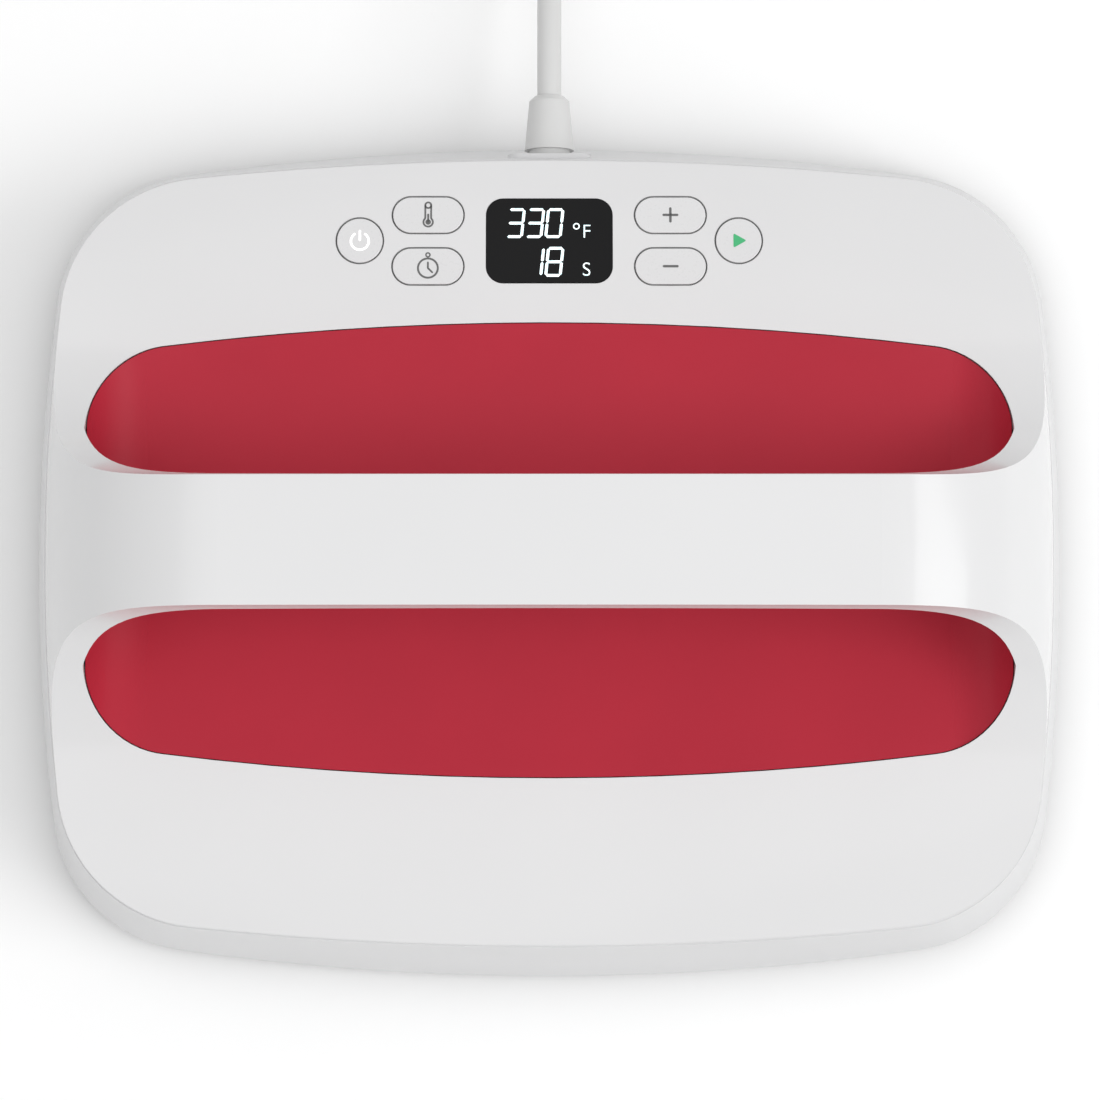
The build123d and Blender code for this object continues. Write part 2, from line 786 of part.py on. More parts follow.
# Buttons: cap, retaining flange under the deck and a plunger over the switch
flange_top = -wall - fit_gap
flange_low = flange_top - button_flange
plunger_low = flange_low - plunger_length
for node, (x, y, is_round) in buttons.items():
    cap = Pos(0, 0, flange_low) * extrude(button_outline(is_round, 0), button_proud - flange_low)
    cap = fillet(cap.faces().sort_by(Axis.Z)[-1].edges(), button_edge)
    cap += Pos(0, 0, flange_low) * extrude(button_outline(is_round, button_lap), button_flange)
    cap += rod(plunger_radius, plunger_low, flange_low + 0.5)
    save(deck_plane(x, y) * cap, node)

# Display: lens in the deck, gasket, and the module on the control board
lens_margin = fit_gap / 2
lens_face = RectangleRounded(
    display_width - 2 * lens_margin, display_depth - 2 * lens_margin, display_corner - lens_margin
)
lens_low = flange_top - lens_plate
lens = Pos(0, 0, lens_low) * extrude(lens_face, -lens_low)
lens += Pos(0, 0, lens_low) * extrude(
    RectangleRounded(display_width + 2 * lens_lap, display_depth + 2 * lens_lap, display_corner), lens_plate
)
save(panel * lens, "display_window")
gasket_low = lens_low - gasket_height
gasket = extrude(Rectangle(display_width, display_depth), gasket_height)
gasket_window = Rectangle(display_width - 2 * gasket_width, display_depth - 2 * gasket_width)
gasket -= extrude(gasket_window, gasket_height)
save(panel * Pos(0, 0, gasket_low) * gasket, "display_gasket")
module = Pos(0, 0, -board_drop) * extrude(Rectangle(display_width, display_depth), gasket_low + board_drop)
save(panel * module, "display_module")

board_low = -board_drop - board_thickness
board_outline = RectangleRounded(board_width, board_depth, board_corner)
board = Pos(0, 0, board_low) * extrude(board_outline, board_thickness)
board_screws = []
for x, y in board_places:
    board -= rod(screw_radius, board_low - 1, -board_drop + 1, x, y)
    head = rod(board_screw_head, board_low - screw_head_height, board_low, x, y)
    shank = rod(screw_radius - fit_gap, board_low - 0.5, board_screw_reach - board_drop, x, y)
    board_screws.append(panel * (head + shank))
save(panel * board, "control_board")
save_all(board_screws, "board_screws")
switches = []
for x, y, is_round in buttons.values():
    base = -board_drop
    body = slab(switch_size, switch_size, base, base + switch_height, x, y - panel_y)
    actuator = rod(actuator_radius, base, base + switch_height + actuator_height, x, y - panel_y)
    switches.append(panel * (body + actuator))
save_all(switches, "button_switches")
save(panel * rod(buzzer_radius, board_low - buzzer_height, board_low, buzzer_x, 0), "buzzer")


# Power board and what stands on it
def on_board(size, place):
    """Block standing on the power board."""
    return slab(size[0], size[1], board_top_z, board_top_z + size[2], place[0], place[1])


power_board = slab(power_width, power_depth, board_low_z, board_top_z, power_x, power_y)
power_screws = []
for x, y in corners(power_width / 2 - power_inset, power_depth / 2 - power_inset):
    power_board -= rod(screw_radius, board_low_z - 1, board_top_z + 1, power_x + x, power_y + y)
    head = rod(screw_head_radius, board_top_z, board_top_z + screw_head_height, power_x + x, power_y + y)
    shank = rod(screw_radius - fit_gap, floor_top + 1, board_top_z + 0.5, power_x + x, power_y + y)
    power_screws.append(head + shank)
save(power_board, "power_board")
save_all(power_screws, "power_board_screws")
relay = on_board(relay_size, relay_place)
save(fillet(relay.edges().filter_by(Axis.Z), relay_round), "relay")
transformer = on_board(transformer_size, transformer_place)
bobbin = on_board(bobbin_size, transformer_place)
save(transformer + bobbin, "transformer")
fuse_z = board_top_z + fuse_radius + 1.0
fuse = Pos(fuse_place[0], fuse_place[1], fuse_z) * Rot(0, 90, 0) * Cylinder(fuse_radius, fuse_length)
for side in (-1, 1):
    clip_x = fuse_place[0] + side * (fuse_length / 2 - fuse_clip_inset)
    fuse += on_board(fuse_clip_size, (clip_x, fuse_place[1]))
save(fuse, "fuse")
terminal = on_board(terminal_size, terminal_place)
terminal_edges = terminal.faces().sort_by(Axis.Z)[-1].edges().filter_by(Axis.X)
save(chamfer(terminal_edges, terminal_bevel), "terminal_block")

# Ribbon between the two boards, with a header at each end
ribbon_y = header_place[1] - panel_y - ribbon_offset
header_width, header_depth, header_height = header_size
upper_header_low = board_low - header_height
upper_header = slab(header_width, header_depth, upper_header_low, board_low, header_place[0], ribbon_y)
ribbon_end = panel.from_local_coords(Vector(header_place[0], ribbon_y, upper_header_low))
ribbon_bend = ribbon_end - panel.z_dir * ribbon_stub
lower_y = ribbon_bend.Y
lower_header = on_board(header_size, (header_place[0], lower_y))
ribbon_start = (header_place[0], lower_y, board_top_z + header_height)
ribbon_path = Polyline(ribbon_start, tuple(ribbon_bend), tuple(ribbon_end))
ribbon_plane = Plane(ribbon_path @ 0, x_dir=(1, 0, 0), z_dir=(0, 0, 1))
ribbon_face = ribbon_plane * Rectangle(ribbon_width, ribbon_thickness)
save_all([lower_header, on_board(plug_in_size, plug_in_place)], "board_headers")
ribbon = sweep(ribbon_face, ribbon_path, transition=Transition.RIGHT)
save_all([panel * upper_header, ribbon], "ribbon_cable")

# Leads
block_front_y = terminal_place[1] - terminal_size[1] / 2
lead_to_block = wire_run(
    [
        (-element_end_x, front_tab_y, tab_top_z),
        (-element_end_x, front_tab_y, wire_z),
        (terminal_place[0] - block_wire_x, front_tab_y + lead_slant, wire_z),
        (terminal_place[0] - block_wire_x, block_front_y, wire_z),
    ],
    wire_bend,
    wire_radius,
)
lead_from_cutoff = wire_run(
    [
        (-cutoff_tab_x, cutoff_y, cutoff_top),
        (-cutoff_tab_x, cutoff_y, wire_z),
        (terminal_place[0] + block_wire_x, cutoff_y, wire_z),
        (terminal_place[0] + block_wire_x, block_front_y, wire_z),
    ],
    wire_bend,
    wire_radius,
)
jumper_z = tab_top_z + jumper_rise
jumper = wire_run(
    [
        (element_end_x, back_tab_y, tab_top_z),
        (element_end_x, back_tab_y, jumper_z),
        (cutoff_tab_x, cutoff_y, jumper_z),
        (cutoff_tab_x, cutoff_y, cutoff_top),
    ],
    wire_bend,
    wire_radius,
)
save_all([lead_to_block, lead_from_cutoff, jumper], "heater_leads")
sensor_wire_z = board_top_z + sensor_wire_rise
sensor_lead = wire_run(
    [
        (0, sensor_y, plate_thickness + sensor_height),
        (0, sensor_y, sensor_wire_z),
        (plug_in_place[0], sensor_y, sensor_wire_z),
        (plug_in_place[0], plug_in_place[1] - plug_in_size[1] / 2, sensor_wire_z),
    ],
    wire_bend,
    wire_radius,
)
save(sensor_lead, "sensor_lead")

# Strain relief, inner end of the cord and its clamp
relief_back_y = boss_back_y - fit_gap
relief_points = [
    (0, relief_back_y - relief_flange),
    (relief_flange_radius, relief_back_y - relief_flange),
    (relief_flange_radius, relief_back_y),
    (relief_neck_radius, relief_back_y),
    (relief_neck_radius, relief_base_y),
    (relief_base_radius, relief_base_y),
    (relief_shoulder_radius, relief_shoulder_y),
    (cord_radius + relief_lip, relief_tip_y),
    (0, relief_tip_y),
]
relief = revolve(make_face(Polyline(*relief_points, close=True)), Axis.Y, 360)
save(Pos(0, 0, cord_axis_z) * relief, "strain_relief")
sheath_length = relief_back_y - relief_flange - sheath_end_y
sheath = Rot(90, 0, 0) * Cylinder(cord_radius, sheath_length)
sheath = Pos(0, sheath_end_y + sheath_length / 2, cord_axis_z) * sheath
mains = [sheath]
for k in (-1, 0, 1):
    entry_y = terminal_place[1] - mains_entry_pitch * k
    mains.append(
        wire_run(
            [
                (k * mains_wire_pitch, sheath_end_y, cord_axis_z),
                (k * mains_wire_pitch, entry_y, cord_axis_z),
                (terminal_place[0] + terminal_size[0] / 2, entry_y, cord_axis_z),
            ],
            wire_bend,
            wire_radius,
        )
    )
save_all(mains, "mains_leads")
clamp_top_z = clamp_low_z + clamp_height
clamp = slab(2 * (clamp_screw_x + clamp_boss_radius), clamp_width, clamp_low_z, clamp_top_z, 0, clamp_y)
clamp -= Pos(0, clamp_y, cord_axis_z) * Rot(90, 0, 0) * Cylinder(cord_radius + fit_gap, 2 * clamp_width)
clamp = fillet(clamp.faces().sort_by(Axis.Z)[-1].edges().filter_by(Axis.Y), clamp_round)
clamp_screws = []
for side in (-1, 1):
    x = side * clamp_screw_x
    clamp -= rod(screw_radius, clamp_low_z - 1, clamp_top_z + 1, x, clamp_y)
    head = rod(screw_head_radius, clamp_top_z, clamp_top_z + screw_head_height, x, clamp_y)
    shank = rod(screw_radius - fit_gap, floor_top + 2, clamp_top_z + 0.5, x, clamp_y)
    clamp_screws.append(head + shank)
save(clamp, "cord_clamp")
save_all(clamp_screws, "clamp_screws")


# Screws from below, into the cover's and the grip's posts
def screws_from_below(places):
    """Screws whose heads sit under the housing floor."""
    screws = []
    for x, y in places:
        head = rod(screw_head_radius, floor_z - screw_head_height, floor_z, x, y)
        screws.append(head + rod(screw_radius, floor_z - 0.5, floor_top + screw_reach - 1, x, y))
    return screws


save_all(screws_from_below(cover_posts), "cover_screws")
save_all(screws_from_below(grip_posts), "grip_screws")

# Power cord: lead to the floor, coil in two layers, tail and plug
coil_low_z = cord_radius + coil_lift
coil_high_z = coil_low_z + coil_pitch
lead_points = [
    (0, relief_tip_y, cord_axis_z),
    (0, relief_tip_y + lead_exit_run, cord_axis_z),
    (0, relief_tip_y + lead_drop_run, cord_axis_z - lead_drop),
    (0, relief_tip_y + lead_floor_run, coil_low_z),
    (0, coil_entry_y, coil_low_z),
]


def corner_radii(points):
    """Arc at each corner: a share of the shorter run over the tangent of half the turn."""
    radii = []
    vectors = [Vector(*p) for p in points]
    for before, corner, after in zip(vectors, vectors[1:], vectors[2:]):
        first = corner - before
        second = after - corner
        turn = math.radians(first.get_angle(second))
        radii.append(arc_share * min(first.length, second.length) / math.tan(turn / 2))
    return radii


def cord_along(points):
    """Cord solid along tangent arcs, with its radii and volume printed."""
    radii = corner_radii(points)
    path = FilletPolyline(*points, radius=radii)
    solid = sweep(Plane(path @ 0, z_dir=path % 0) * Circle(cord_radius), path)
    ratio = solid.volume / (math.pi * cord_radius**2 * path.length)
    print("cord radii", [round(r, 1) for r in radii])
    print("cord length", round(path.length, 1), "volume ratio", round(ratio, 5))
    return solid


save(cord_along(lead_points), "cord_lead")


def tangent_arc(start, corner, end):
    """Arc from start to end that is tangent to the legs meeting at corner."""
    to_start = start - corner
    to_end = end - corner
    half_angle = math.radians(to_start.get_angle(to_end)) / 2
    reach = to_start.length
    outward = (to_start.normalized() + to_end.normalized()).normalized()
    middle = corner + outward * (reach / math.cos(half_angle) - reach * math.tan(half_angle))
    return ThreePointArc(start, middle, end)


def half_turn(centre, radius, start_side, rise):
    """Two quarter arcs from one side of the coil to the other, climbing by rise."""
    leg = math.sqrt(radius**2 + rise**2 / 4)
    start = centre + Vector(start_side * radius, 0, 0)
    end = centre + Vector(-start_side * radius, 0, rise)
    first = start + Vector(0, start_side * leg, 0)
    last = end + Vector(0, start_side * leg, 0)
    middle = (first + last) / 2
    return [tangent_arc(start, first, middle), tangent_arc(middle, last, end)]


coil_edges = []
centre = Vector(-coil_outer_radius, coil_entry_y + 2 * cord_radius, coil_low_z)
coil_edges.append(Line((0, coil_entry_y, coil_low_z), (0, coil_entry_y + 2 * cord_radius, coil_low_z)))
radius = coil_outer_radius
side = 1
step = coil_pitch / 2
for k in range(2 * coil_half_turns + 1):
    rise = coil_pitch if k == coil_half_turns else 0.0
    arcs = half_turn(centre, radius, side, rise)
    if k == 2 * coil_half_turns:
        arcs = arcs[:1]
    coil_edges.extend(arcs)
    change = -step if k < coil_half_turns else step
    centre = centre + Vector(side * change, 0, rise)
    radius += change
    side = -side
coil_exit = coil_edges[-1] @ 1
tail_start = coil_exit + Vector(-2 * cord_radius, 0, 0)
coil_edges.append(Line(coil_exit, tail_start))
coil_wire = Wire(coil_edges)
coil = sweep(Plane(coil_wire @ 0, z_dir=coil_wire % 0) * Circle(cord_radius), coil_wire)
save(coil, "cord_coil")


def least_gap(wire, samples):
    """Least distance between turns of the tube, measured on points of its centre line."""
    points = [wire @ (k / samples) for k in range(samples + 1)]
    spacing = wire.length / samples
    skip = int(3 * coil_pitch / spacing) + 1
    least = wire.length
    for i, first in enumerate(points):
        for second in points[i + skip :]:
            least = min(least, math.dist(first, second))
    return least - 2 * cord_radius


coil_length = coil_wire.length
coil_ratio = coil.volume / (math.pi * cord_radius**2 * coil_length)
print("coil length", round(coil_length, 1), "volume ratio", round(coil_ratio, 5))
print("coil least gap", round(least_gap(coil_wire, 700), 3))

tail_points = [
    tuple(tail_start),
    (tail_start.X - tail_length, tail_start.Y, tail_start.Z),
    (tail_start.X - 2 * tail_length, tail_start.Y - tail_slant, tail_start.Z),
]
save(cord_along(tail_points), "cord_tail")


def tie_band():
    """Flat tie round the bundle of turns, at one angle of the coil."""
    middle = Vector(-coil_outer_radius, coil_entry_y + 2 * cord_radius, 0)
    turn = math.radians(tie_turn)
    out = Vector(math.cos(turn), math.sin(turn), 0)
    across = Vector(-math.sin(turn), math.cos(turn), 0)
    reach = []
    for k in range(2001):
        point = coil_wire @ (k / 2000) - middle
        flat = Vector(point.X, point.Y, 0)
        if abs(flat.dot(across)) < tie_width / 2 and flat.dot(out) > 0:
            reach.append(flat.dot(out))
    near = min(reach) - cord_radius - fit_gap
    far = max(reach) + cord_radius + fit_gap
    low = coil_low_z - cord_radius - fit_gap / 2
    high = coil_high_z + cord_radius + fit_gap
    origin = middle + out * ((near + far) / 2) + Vector(0, 0, (low + high) / 2)
    place = Plane(origin=origin, x_dir=out, z_dir=across)
    width = far - near
    height = high - low
    outside = tie_corner + tie_thickness
    band = RectangleRounded(width + 2 * tie_thickness, height + 2 * tie_thickness, outside)
    band -= RectangleRounded(width, height, tie_corner)
    return place * extrude(band, tie_width / 2, both=True)


save(tie_band(), "cord_tie")

# Plug beside the coil: neck, body, two blades and an earth pin
tail_end = Vector(*tail_points[-1])
plug_dir = (tail_end - Vector(*tail_points[-2])).normalized()
plug_plane = Plane(origin=tail_end, x_dir=Vector(0, 0, 1).cross(plug_dir), z_dir=plug_dir)
neck = Pos(0, 0, plug_neck_length / 2) * Cone(cord_radius + relief_lip, plug_neck_radius, plug_neck_length)
plug_taper_end = plug_neck_length + plug_taper_length
plug_outline = RectangleRounded(plug_width, plug_height, plug_round)
body_low = loft(
    [
        Pos(0, 0, plug_neck_length) * RectangleRounded(
            plug_width * plug_taper, plug_height * plug_taper, plug_round * plug_taper
        ),
        Pos(0, 0, plug_taper_end) * plug_outline,
    ]
)
body_high = Pos(0, 0, plug_taper_end) * extrude(plug_outline, plug_length - plug_taper_length)
plug = neck + body_low + body_high
save(plug_plane * plug, "plug_body")
face_z = plug_neck_length + plug_length
blades = []
for side in (-1, 1):
    blade = Pos(side * blade_spacing / 2, -pin_rise / 3, face_z + blade_length / 2) * Box(
        blade_thickness, blade_width, blade_length
    )
    blades.append(plug_plane * blade)
pin = Pos(0, 2 * pin_rise / 3, face_z + pin_length / 2) * Cylinder(pin_radius, pin_length)
blades.append(plug_plane * pin)
save_all(blades, "plug_blades")
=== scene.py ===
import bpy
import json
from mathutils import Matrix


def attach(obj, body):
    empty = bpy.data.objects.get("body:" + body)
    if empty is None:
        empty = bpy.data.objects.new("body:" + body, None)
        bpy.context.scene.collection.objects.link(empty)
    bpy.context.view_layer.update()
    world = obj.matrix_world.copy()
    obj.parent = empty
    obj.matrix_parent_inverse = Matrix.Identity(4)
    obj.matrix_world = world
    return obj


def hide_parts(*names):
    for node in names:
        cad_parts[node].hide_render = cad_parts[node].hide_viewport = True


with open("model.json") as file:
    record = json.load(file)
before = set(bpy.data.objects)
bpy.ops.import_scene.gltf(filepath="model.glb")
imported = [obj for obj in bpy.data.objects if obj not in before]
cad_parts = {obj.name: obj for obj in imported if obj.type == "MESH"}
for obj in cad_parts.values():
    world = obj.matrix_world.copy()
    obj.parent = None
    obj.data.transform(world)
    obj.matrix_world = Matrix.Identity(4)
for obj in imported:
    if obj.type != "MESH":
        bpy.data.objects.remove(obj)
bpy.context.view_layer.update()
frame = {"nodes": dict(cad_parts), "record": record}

"""Handheld heat press: studio, cord, key signs, display digits and finishes.

Every length is in metres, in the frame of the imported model: +X runs along the
handle, +Y to the back where the cord leaves, and +Z up from the hot plate.
"""

import json
import logging
import math
from dataclasses import dataclass
from enum import Enum

import bpy
from mathutils import Matrix, Vector

log = logging.getLogger("heat_press")

MM = 0.001
NEAR_ZERO = 0.01 * MM
VERTEX_MODE = (True, False, False)
FACE_MODE = (False, False, True)


class Body(Enum):
    """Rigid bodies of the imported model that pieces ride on."""

    PRESS = "press"
    POWER = "power_key"
    TEMPERATURE = "temperature_key"
    TIMER = "timer_key"
    PLUS = "plus_key"
    MINUS = "minus_key"
    START = "start_key"


class Sign(Enum):
    """Printed signs on the keys."""

    POWER = "power"
    THERMOMETER = "thermometer"
    STOPWATCH = "stopwatch"
    PLUS = "plus"
    MINUS = "minus"
    START = "start"


# ---- Shader nodes: a writer, and the effects that several finishes share ----


FLOAT = "NodeSocketFloat"
COLOR = "NodeSocketColor"
NOISE = "ShaderNodeTexNoise"
NOISE_MEAN = 0.5


class NodeWriter:
    """Adds nodes to one shader tree and feeds their inputs."""

    def __init__(self, tree: bpy.types.NodeTree) -> None:
        """Write into one tree, of a material, a group or the world."""
        self.tree = tree

    def feed(self, socket: bpy.types.NodeSocket, value: object) -> None:
        """Link a socket to an input, or set the input's constant.

        Args:
            socket: The input.
            value: Another node's output, or a plain value.
        """
        if isinstance(value, bpy.types.NodeSocket):
            self.tree.links.new(value, socket)
        else:
            socket.default_value = value

    def node(self, kind: str, fed: dict | None = None, **settings: object) -> bpy.types.Node:
        """Add a node, set its properties and then feed its inputs.

        Args:
            kind: Blender's type name of the node.
            fed: Name or index of each input, to what feeds it.
            settings: Properties to set on the node.

        Returns:
            The new node.
        """
        node = self.tree.nodes.new(kind)
        for key, value in settings.items():
            setattr(node, key, value)
        for key, value in (fed or {}).items():
            self.feed(node.inputs[key], value)
        return node

    def math(self, operation: str, *values: object) -> bpy.types.NodeSocket:
        """Result of a math node, by Blender's name of the operation."""
        return self.node("ShaderNodeMath", dict(enumerate(values)), operation=operation).outputs[0]

    def place(self) -> bpy.types.NodeSocket:
        """Object coordinates."""
        return self.node("ShaderNodeTexCoord").outputs["Object"]

    def spread(self, value: bpy.types.NodeSocket, low: float, high: float) -> bpy.types.NodeSocket:
        """Value stretched so that low becomes 0 and high becomes 1."""
        fed = {"Value": value, "From Min": low, "From Max": high}
        return self.node("ShaderNodeMapRange", fed).outputs["Result"]

    def scaled(self, colour: object, share: bpy.types.NodeSocket) -> bpy.types.NodeSocket:
        """Colour or vector times a share."""
        return self.node("ShaderNodeVectorMath", {0: colour, "Scale": share}, operation="SCALE").outputs[0]

    def blend(self, factor: bpy.types.NodeSocket, first: object, second: object) -> bpy.types.NodeSocket:
        """Colour between two colours."""
        fed = {"Factor": factor, "A": first, "B": second}
        return self.node("ShaderNodeMix", fed, data_type="RGBA").outputs["Result"]

    def mix(self, factor: bpy.types.NodeSocket, first: bpy.types.NodeSocket,
            second: bpy.types.NodeSocket) -> bpy.types.NodeSocket:
        """Shader between two shaders."""
        return self.node("ShaderNodeMixShader", {"Fac": factor, 1: first, 2: second}).outputs["Shader"]


class EffectGroup(NodeWriter):
    """A shader node group built once, with named inputs and outputs."""

    name = "effect"
    inputs: tuple = ()
    outputs: tuple = ()

    def __init__(self) -> None:
        """Build the group, its sockets and its inner nodes."""
        super().__init__(bpy.data.node_groups.new(self.name, "ShaderNodeTree"))
        for label, kind, value in self.inputs:
            self.tree.interface.new_socket(name=label, in_out="INPUT", socket_type=kind).default_value = value
        for label, kind in self.outputs:
            self.tree.interface.new_socket(name=label, in_out="OUTPUT", socket_type=kind)
        self.given = self.node("NodeGroupInput").outputs
        self.result = self.node("NodeGroupOutput").inputs
        self.wire()

    def wire(self) -> None:
        """Make the inner nodes; each effect has its own."""
        raise NotImplementedError

    def give_rough(self, noise: bpy.types.NodeSocket) -> bpy.types.NodeSocket:
        """Give the roughness, moved up and down by a noise.

        Args:
            noise: Noise around its mean.

        Returns:
            The noise with its mean taken off.
        """
        centred = self.math("SUBTRACT", noise, NOISE_MEAN)
        rough = self.math("MULTIPLY_ADD", centred, self.given["Roughness Change"], self.given["Roughness"])
        self.feed(self.result["Roughness"], rough)
        return centred


class MouldedGrain(EffectGroup):
    """Fine spark-eroded grain of moulded plastic over a slow unevenness."""

    name = "moulded_grain"
    inputs = (
        ("Colour", COLOR, (0.8, 0.8, 0.8, 1.0)),
        ("Grain Size", FLOAT, 900.0),
        ("Grain Depth", FLOAT, 0.5),
        ("Wave Depth", FLOAT, 0.1),
        ("Tint Change", FLOAT, 0.02),
        ("Roughness", FLOAT, 0.3),
        ("Roughness Change", FLOAT, 0.05),
    )
    outputs = (("Colour", COLOR), ("Roughness", FLOAT), ("Height", FLOAT))
    grain_detail = 3.0
    grain_roughness = 0.6
    wave_size = 22.0
    wave_detail = 2.0
    wave_ends = (0.3, 0.7)

    def wire(self) -> None:
        """Mix two noises into colour, roughness and height."""
        place = self.place()
        grain = self.node(NOISE, {
            "Vector": place, "Scale": self.given["Grain Size"],
            "Detail": self.grain_detail, "Roughness": self.grain_roughness}).outputs["Fac"]
        wave = self.node(NOISE, {"Vector": place, "Scale": self.wave_size,
                                 "Detail": self.wave_detail}).outputs["Fac"]
        darkest = self.math("SUBTRACT", 1.0, self.given["Tint Change"])
        shade = self.node("ShaderNodeMapRange", {
            "Value": wave, "From Min": self.wave_ends[0], "From Max": self.wave_ends[1],
            "To Min": darkest, "To Max": 1.0})
        self.feed(self.result["Colour"], self.scaled(self.given["Colour"], shade.outputs["Result"]))
        self.give_rough(grain)
        fine = self.math("MULTIPLY", grain, self.given["Grain Depth"])
        self.feed(self.result["Height"], self.math("MULTIPLY_ADD", wave, self.given["Wave Depth"], fine))


class BrushedLines(EffectGroup):
    """Fine parallel lines of brushed or rolled metal, along X."""

    name = "brushed_lines"
    inputs = (
        ("Line Size", FLOAT, 700.0),
        ("Colour", COLOR, (0.5, 0.5, 0.5, 1.0)),
        ("Tint Change", FLOAT, 0.15),
        ("Roughness", FLOAT, 0.35),
        ("Roughness Change", FLOAT, 0.2),
    )
    outputs = (("Colour", COLOR), ("Roughness", FLOAT), ("Height", FLOAT))
    stretch = (0.02, 1.0, 1.0)
    line_detail = 5.0

    def wire(self) -> None:
        """Stretch a noise along X and spread it over colour, roughness and height."""
        mapping = self.node("ShaderNodeMapping", {"Scale": self.stretch, "Vector": self.place()})
        lines = self.node(NOISE, {"Vector": mapping.outputs["Vector"], "Scale": self.given["Line Size"],
                                  "Detail": self.line_detail}).outputs["Fac"]
        centred = self.give_rough(lines)
        gain = self.math("MULTIPLY_ADD", centred, self.given["Tint Change"], 1.0)
        self.feed(self.result["Colour"], self.scaled(self.given["Colour"], gain))
        self.feed(self.result["Height"], lines)


class FibreField(EffectGroup):
    """Short tangled fibres of a wool mat."""

    name = "fibre_field"
    inputs = (
        ("Fibre Size", FLOAT, 260.0),
        ("Dark", COLOR, (0.5, 0.46, 0.36, 1.0)),
        ("Light", COLOR, (0.75, 0.71, 0.6, 1.0)),
    )
    outputs = (("Colour", COLOR), ("Height", FLOAT))
    bend_size = 120.0
    bend_reach = 0.012

    def wire(self) -> None:
        """Warp a voronoi with a noise so that its cells read as fibres."""
        place = self.place()
        bend = self.node(NOISE, {"Vector": place, "Scale": self.bend_size}).outputs["Color"]
        moved = self.node("ShaderNodeVectorMath", {0: place, 1: self.scaled(bend, self.bend_reach)},
                          operation="ADD").outputs[0]
        cells = self.node("ShaderNodeTexVoronoi", {"Vector": moved, "Scale": self.given["Fibre Size"]},
                          feature="F1").outputs["Distance"]
        self.feed(self.result["Colour"], self.blend(cells, self.given["Dark"], self.given["Light"]))
        self.feed(self.result["Height"], cells)


class Effects:
    """The shared node groups, each built on first use."""

    made: dict = {}

    @classmethod
    def tree(cls, kind: type) -> bpy.types.NodeTree:
        """Give the node tree of an effect, built once.

        Args:
            kind: The effect's class.

        Returns:
            The group's node tree.
        """
        if kind not in cls.made:
            cls.made[kind] = kind()
        return cls.made[kind].tree


# ---- Finishes ----


def opaque(colour: tuple) -> tuple:
    """Colour with full alpha."""
    return (*colour, 1.0)


@dataclass(frozen=True)
class Finish:
    """Base of all finishes: makes a material with a Principled shader."""

    name: str
    colour: tuple

    def material(self) -> bpy.types.Material:
        """Give this finish's material, made on first use.

        Returns:
            The material.
        """
        found = bpy.data.materials.get(self.name)
        if found is not None:
            return found
        material = bpy.data.materials.new(self.name)
        material.use_nodes = True
        material.diffuse_color = opaque(self.colour)
        self.fill(NodeWriter(material.node_tree), material.node_tree.nodes["Principled BSDF"])
        return material

    def fill(self, nodes: NodeWriter, shader: bpy.types.Node) -> None:
        """Make the nodes round the Principled shader; each finish has its own."""
        raise NotImplementedError

    def effect(self, nodes: NodeWriter, kind: type, **values: object) -> bpy.types.Node:
        """Group node of a shared effect, its inputs named with underscores for spaces."""
        fed = {key.replace("_", " "): value for key, value in values.items()}
        return nodes.node("ShaderNodeGroup", fed, node_tree=Effects.tree(kind))

    def coat_with(self, nodes: NodeWriter, shader: bpy.types.Node, depth: float, **fed: object) -> None:
        """Feed the shader, and its normal from a height.

        Args:
            nodes: Writer into the material's node tree.
            shader: The Principled node.
            depth: Distance of the bump in metres, or 0 for none.
            fed: Input name, with underscores for spaces, to what feeds it, and Height for the bump.
        """
        height = fed.pop("Height", None)
        for key, value in fed.items():
            nodes.feed(shader.inputs[key.replace("_", " ")], value)
        if height is not None:
            bump = nodes.node("ShaderNodeBump", {"Distance": depth, "Strength": 1.0, "Height": height})
            nodes.feed(shader.inputs["Normal"], bump.outputs["Normal"])


@dataclass(frozen=True)
class Moulded(Finish):
    """Moulded plastic or rubber with a fine grain."""

    roughness: float = 0.3
    rough_change: float = 0.06
    specular: float = 0.5
    coat: float = 0.0
    coat_roughness: float = 0.1
    grain: float = 900.0
    depth: float = 0.00004
    tint_change: float = 0.02

    def fill(self, nodes: NodeWriter, shader: bpy.types.Node) -> None:
        """Grain on colour, roughness and bump.

        Args:
            nodes: Writer into the material's node tree.
            shader: The Principled node.
        """
        grain = self.effect(nodes, MouldedGrain, Colour=opaque(self.colour), Grain_Size=self.grain,
                            Tint_Change=self.tint_change, Roughness=self.roughness,
                            Roughness_Change=self.rough_change).outputs
        self.coat_with(nodes, shader, self.depth, Base_Color=grain["Colour"], Roughness=grain["Roughness"],
                       Specular_IOR_Level=self.specular, Coat_Weight=self.coat,
                       Coat_Roughness=self.coat_roughness, Height=grain["Height"])


@dataclass(frozen=True)
class Metal(Finish):
    """Brushed, rolled or polished metal."""

    roughness: float = 0.35
    rough_change: float = 0.2
    lines: float = 700.0
    tint_change: float = 0.15
    depth: float = 0.00002
    metallic: float = 1.0

    def fill(self, nodes: NodeWriter, shader: bpy.types.Node) -> None:
        """Lines on colour, roughness and bump over a metallic shader.

        Args:
            nodes: Writer into the material's node tree.
            shader: The Principled node.
        """
        lines = self.effect(nodes, BrushedLines, Colour=opaque(self.colour), Line_Size=self.lines,
                            Tint_Change=self.tint_change, Roughness=self.roughness,
                            Roughness_Change=self.rough_change).outputs
        self.coat_with(nodes, shader, self.depth, Base_Color=lines["Colour"], Roughness=lines["Roughness"],
                       Metallic=self.metallic, Height=lines["Height"])


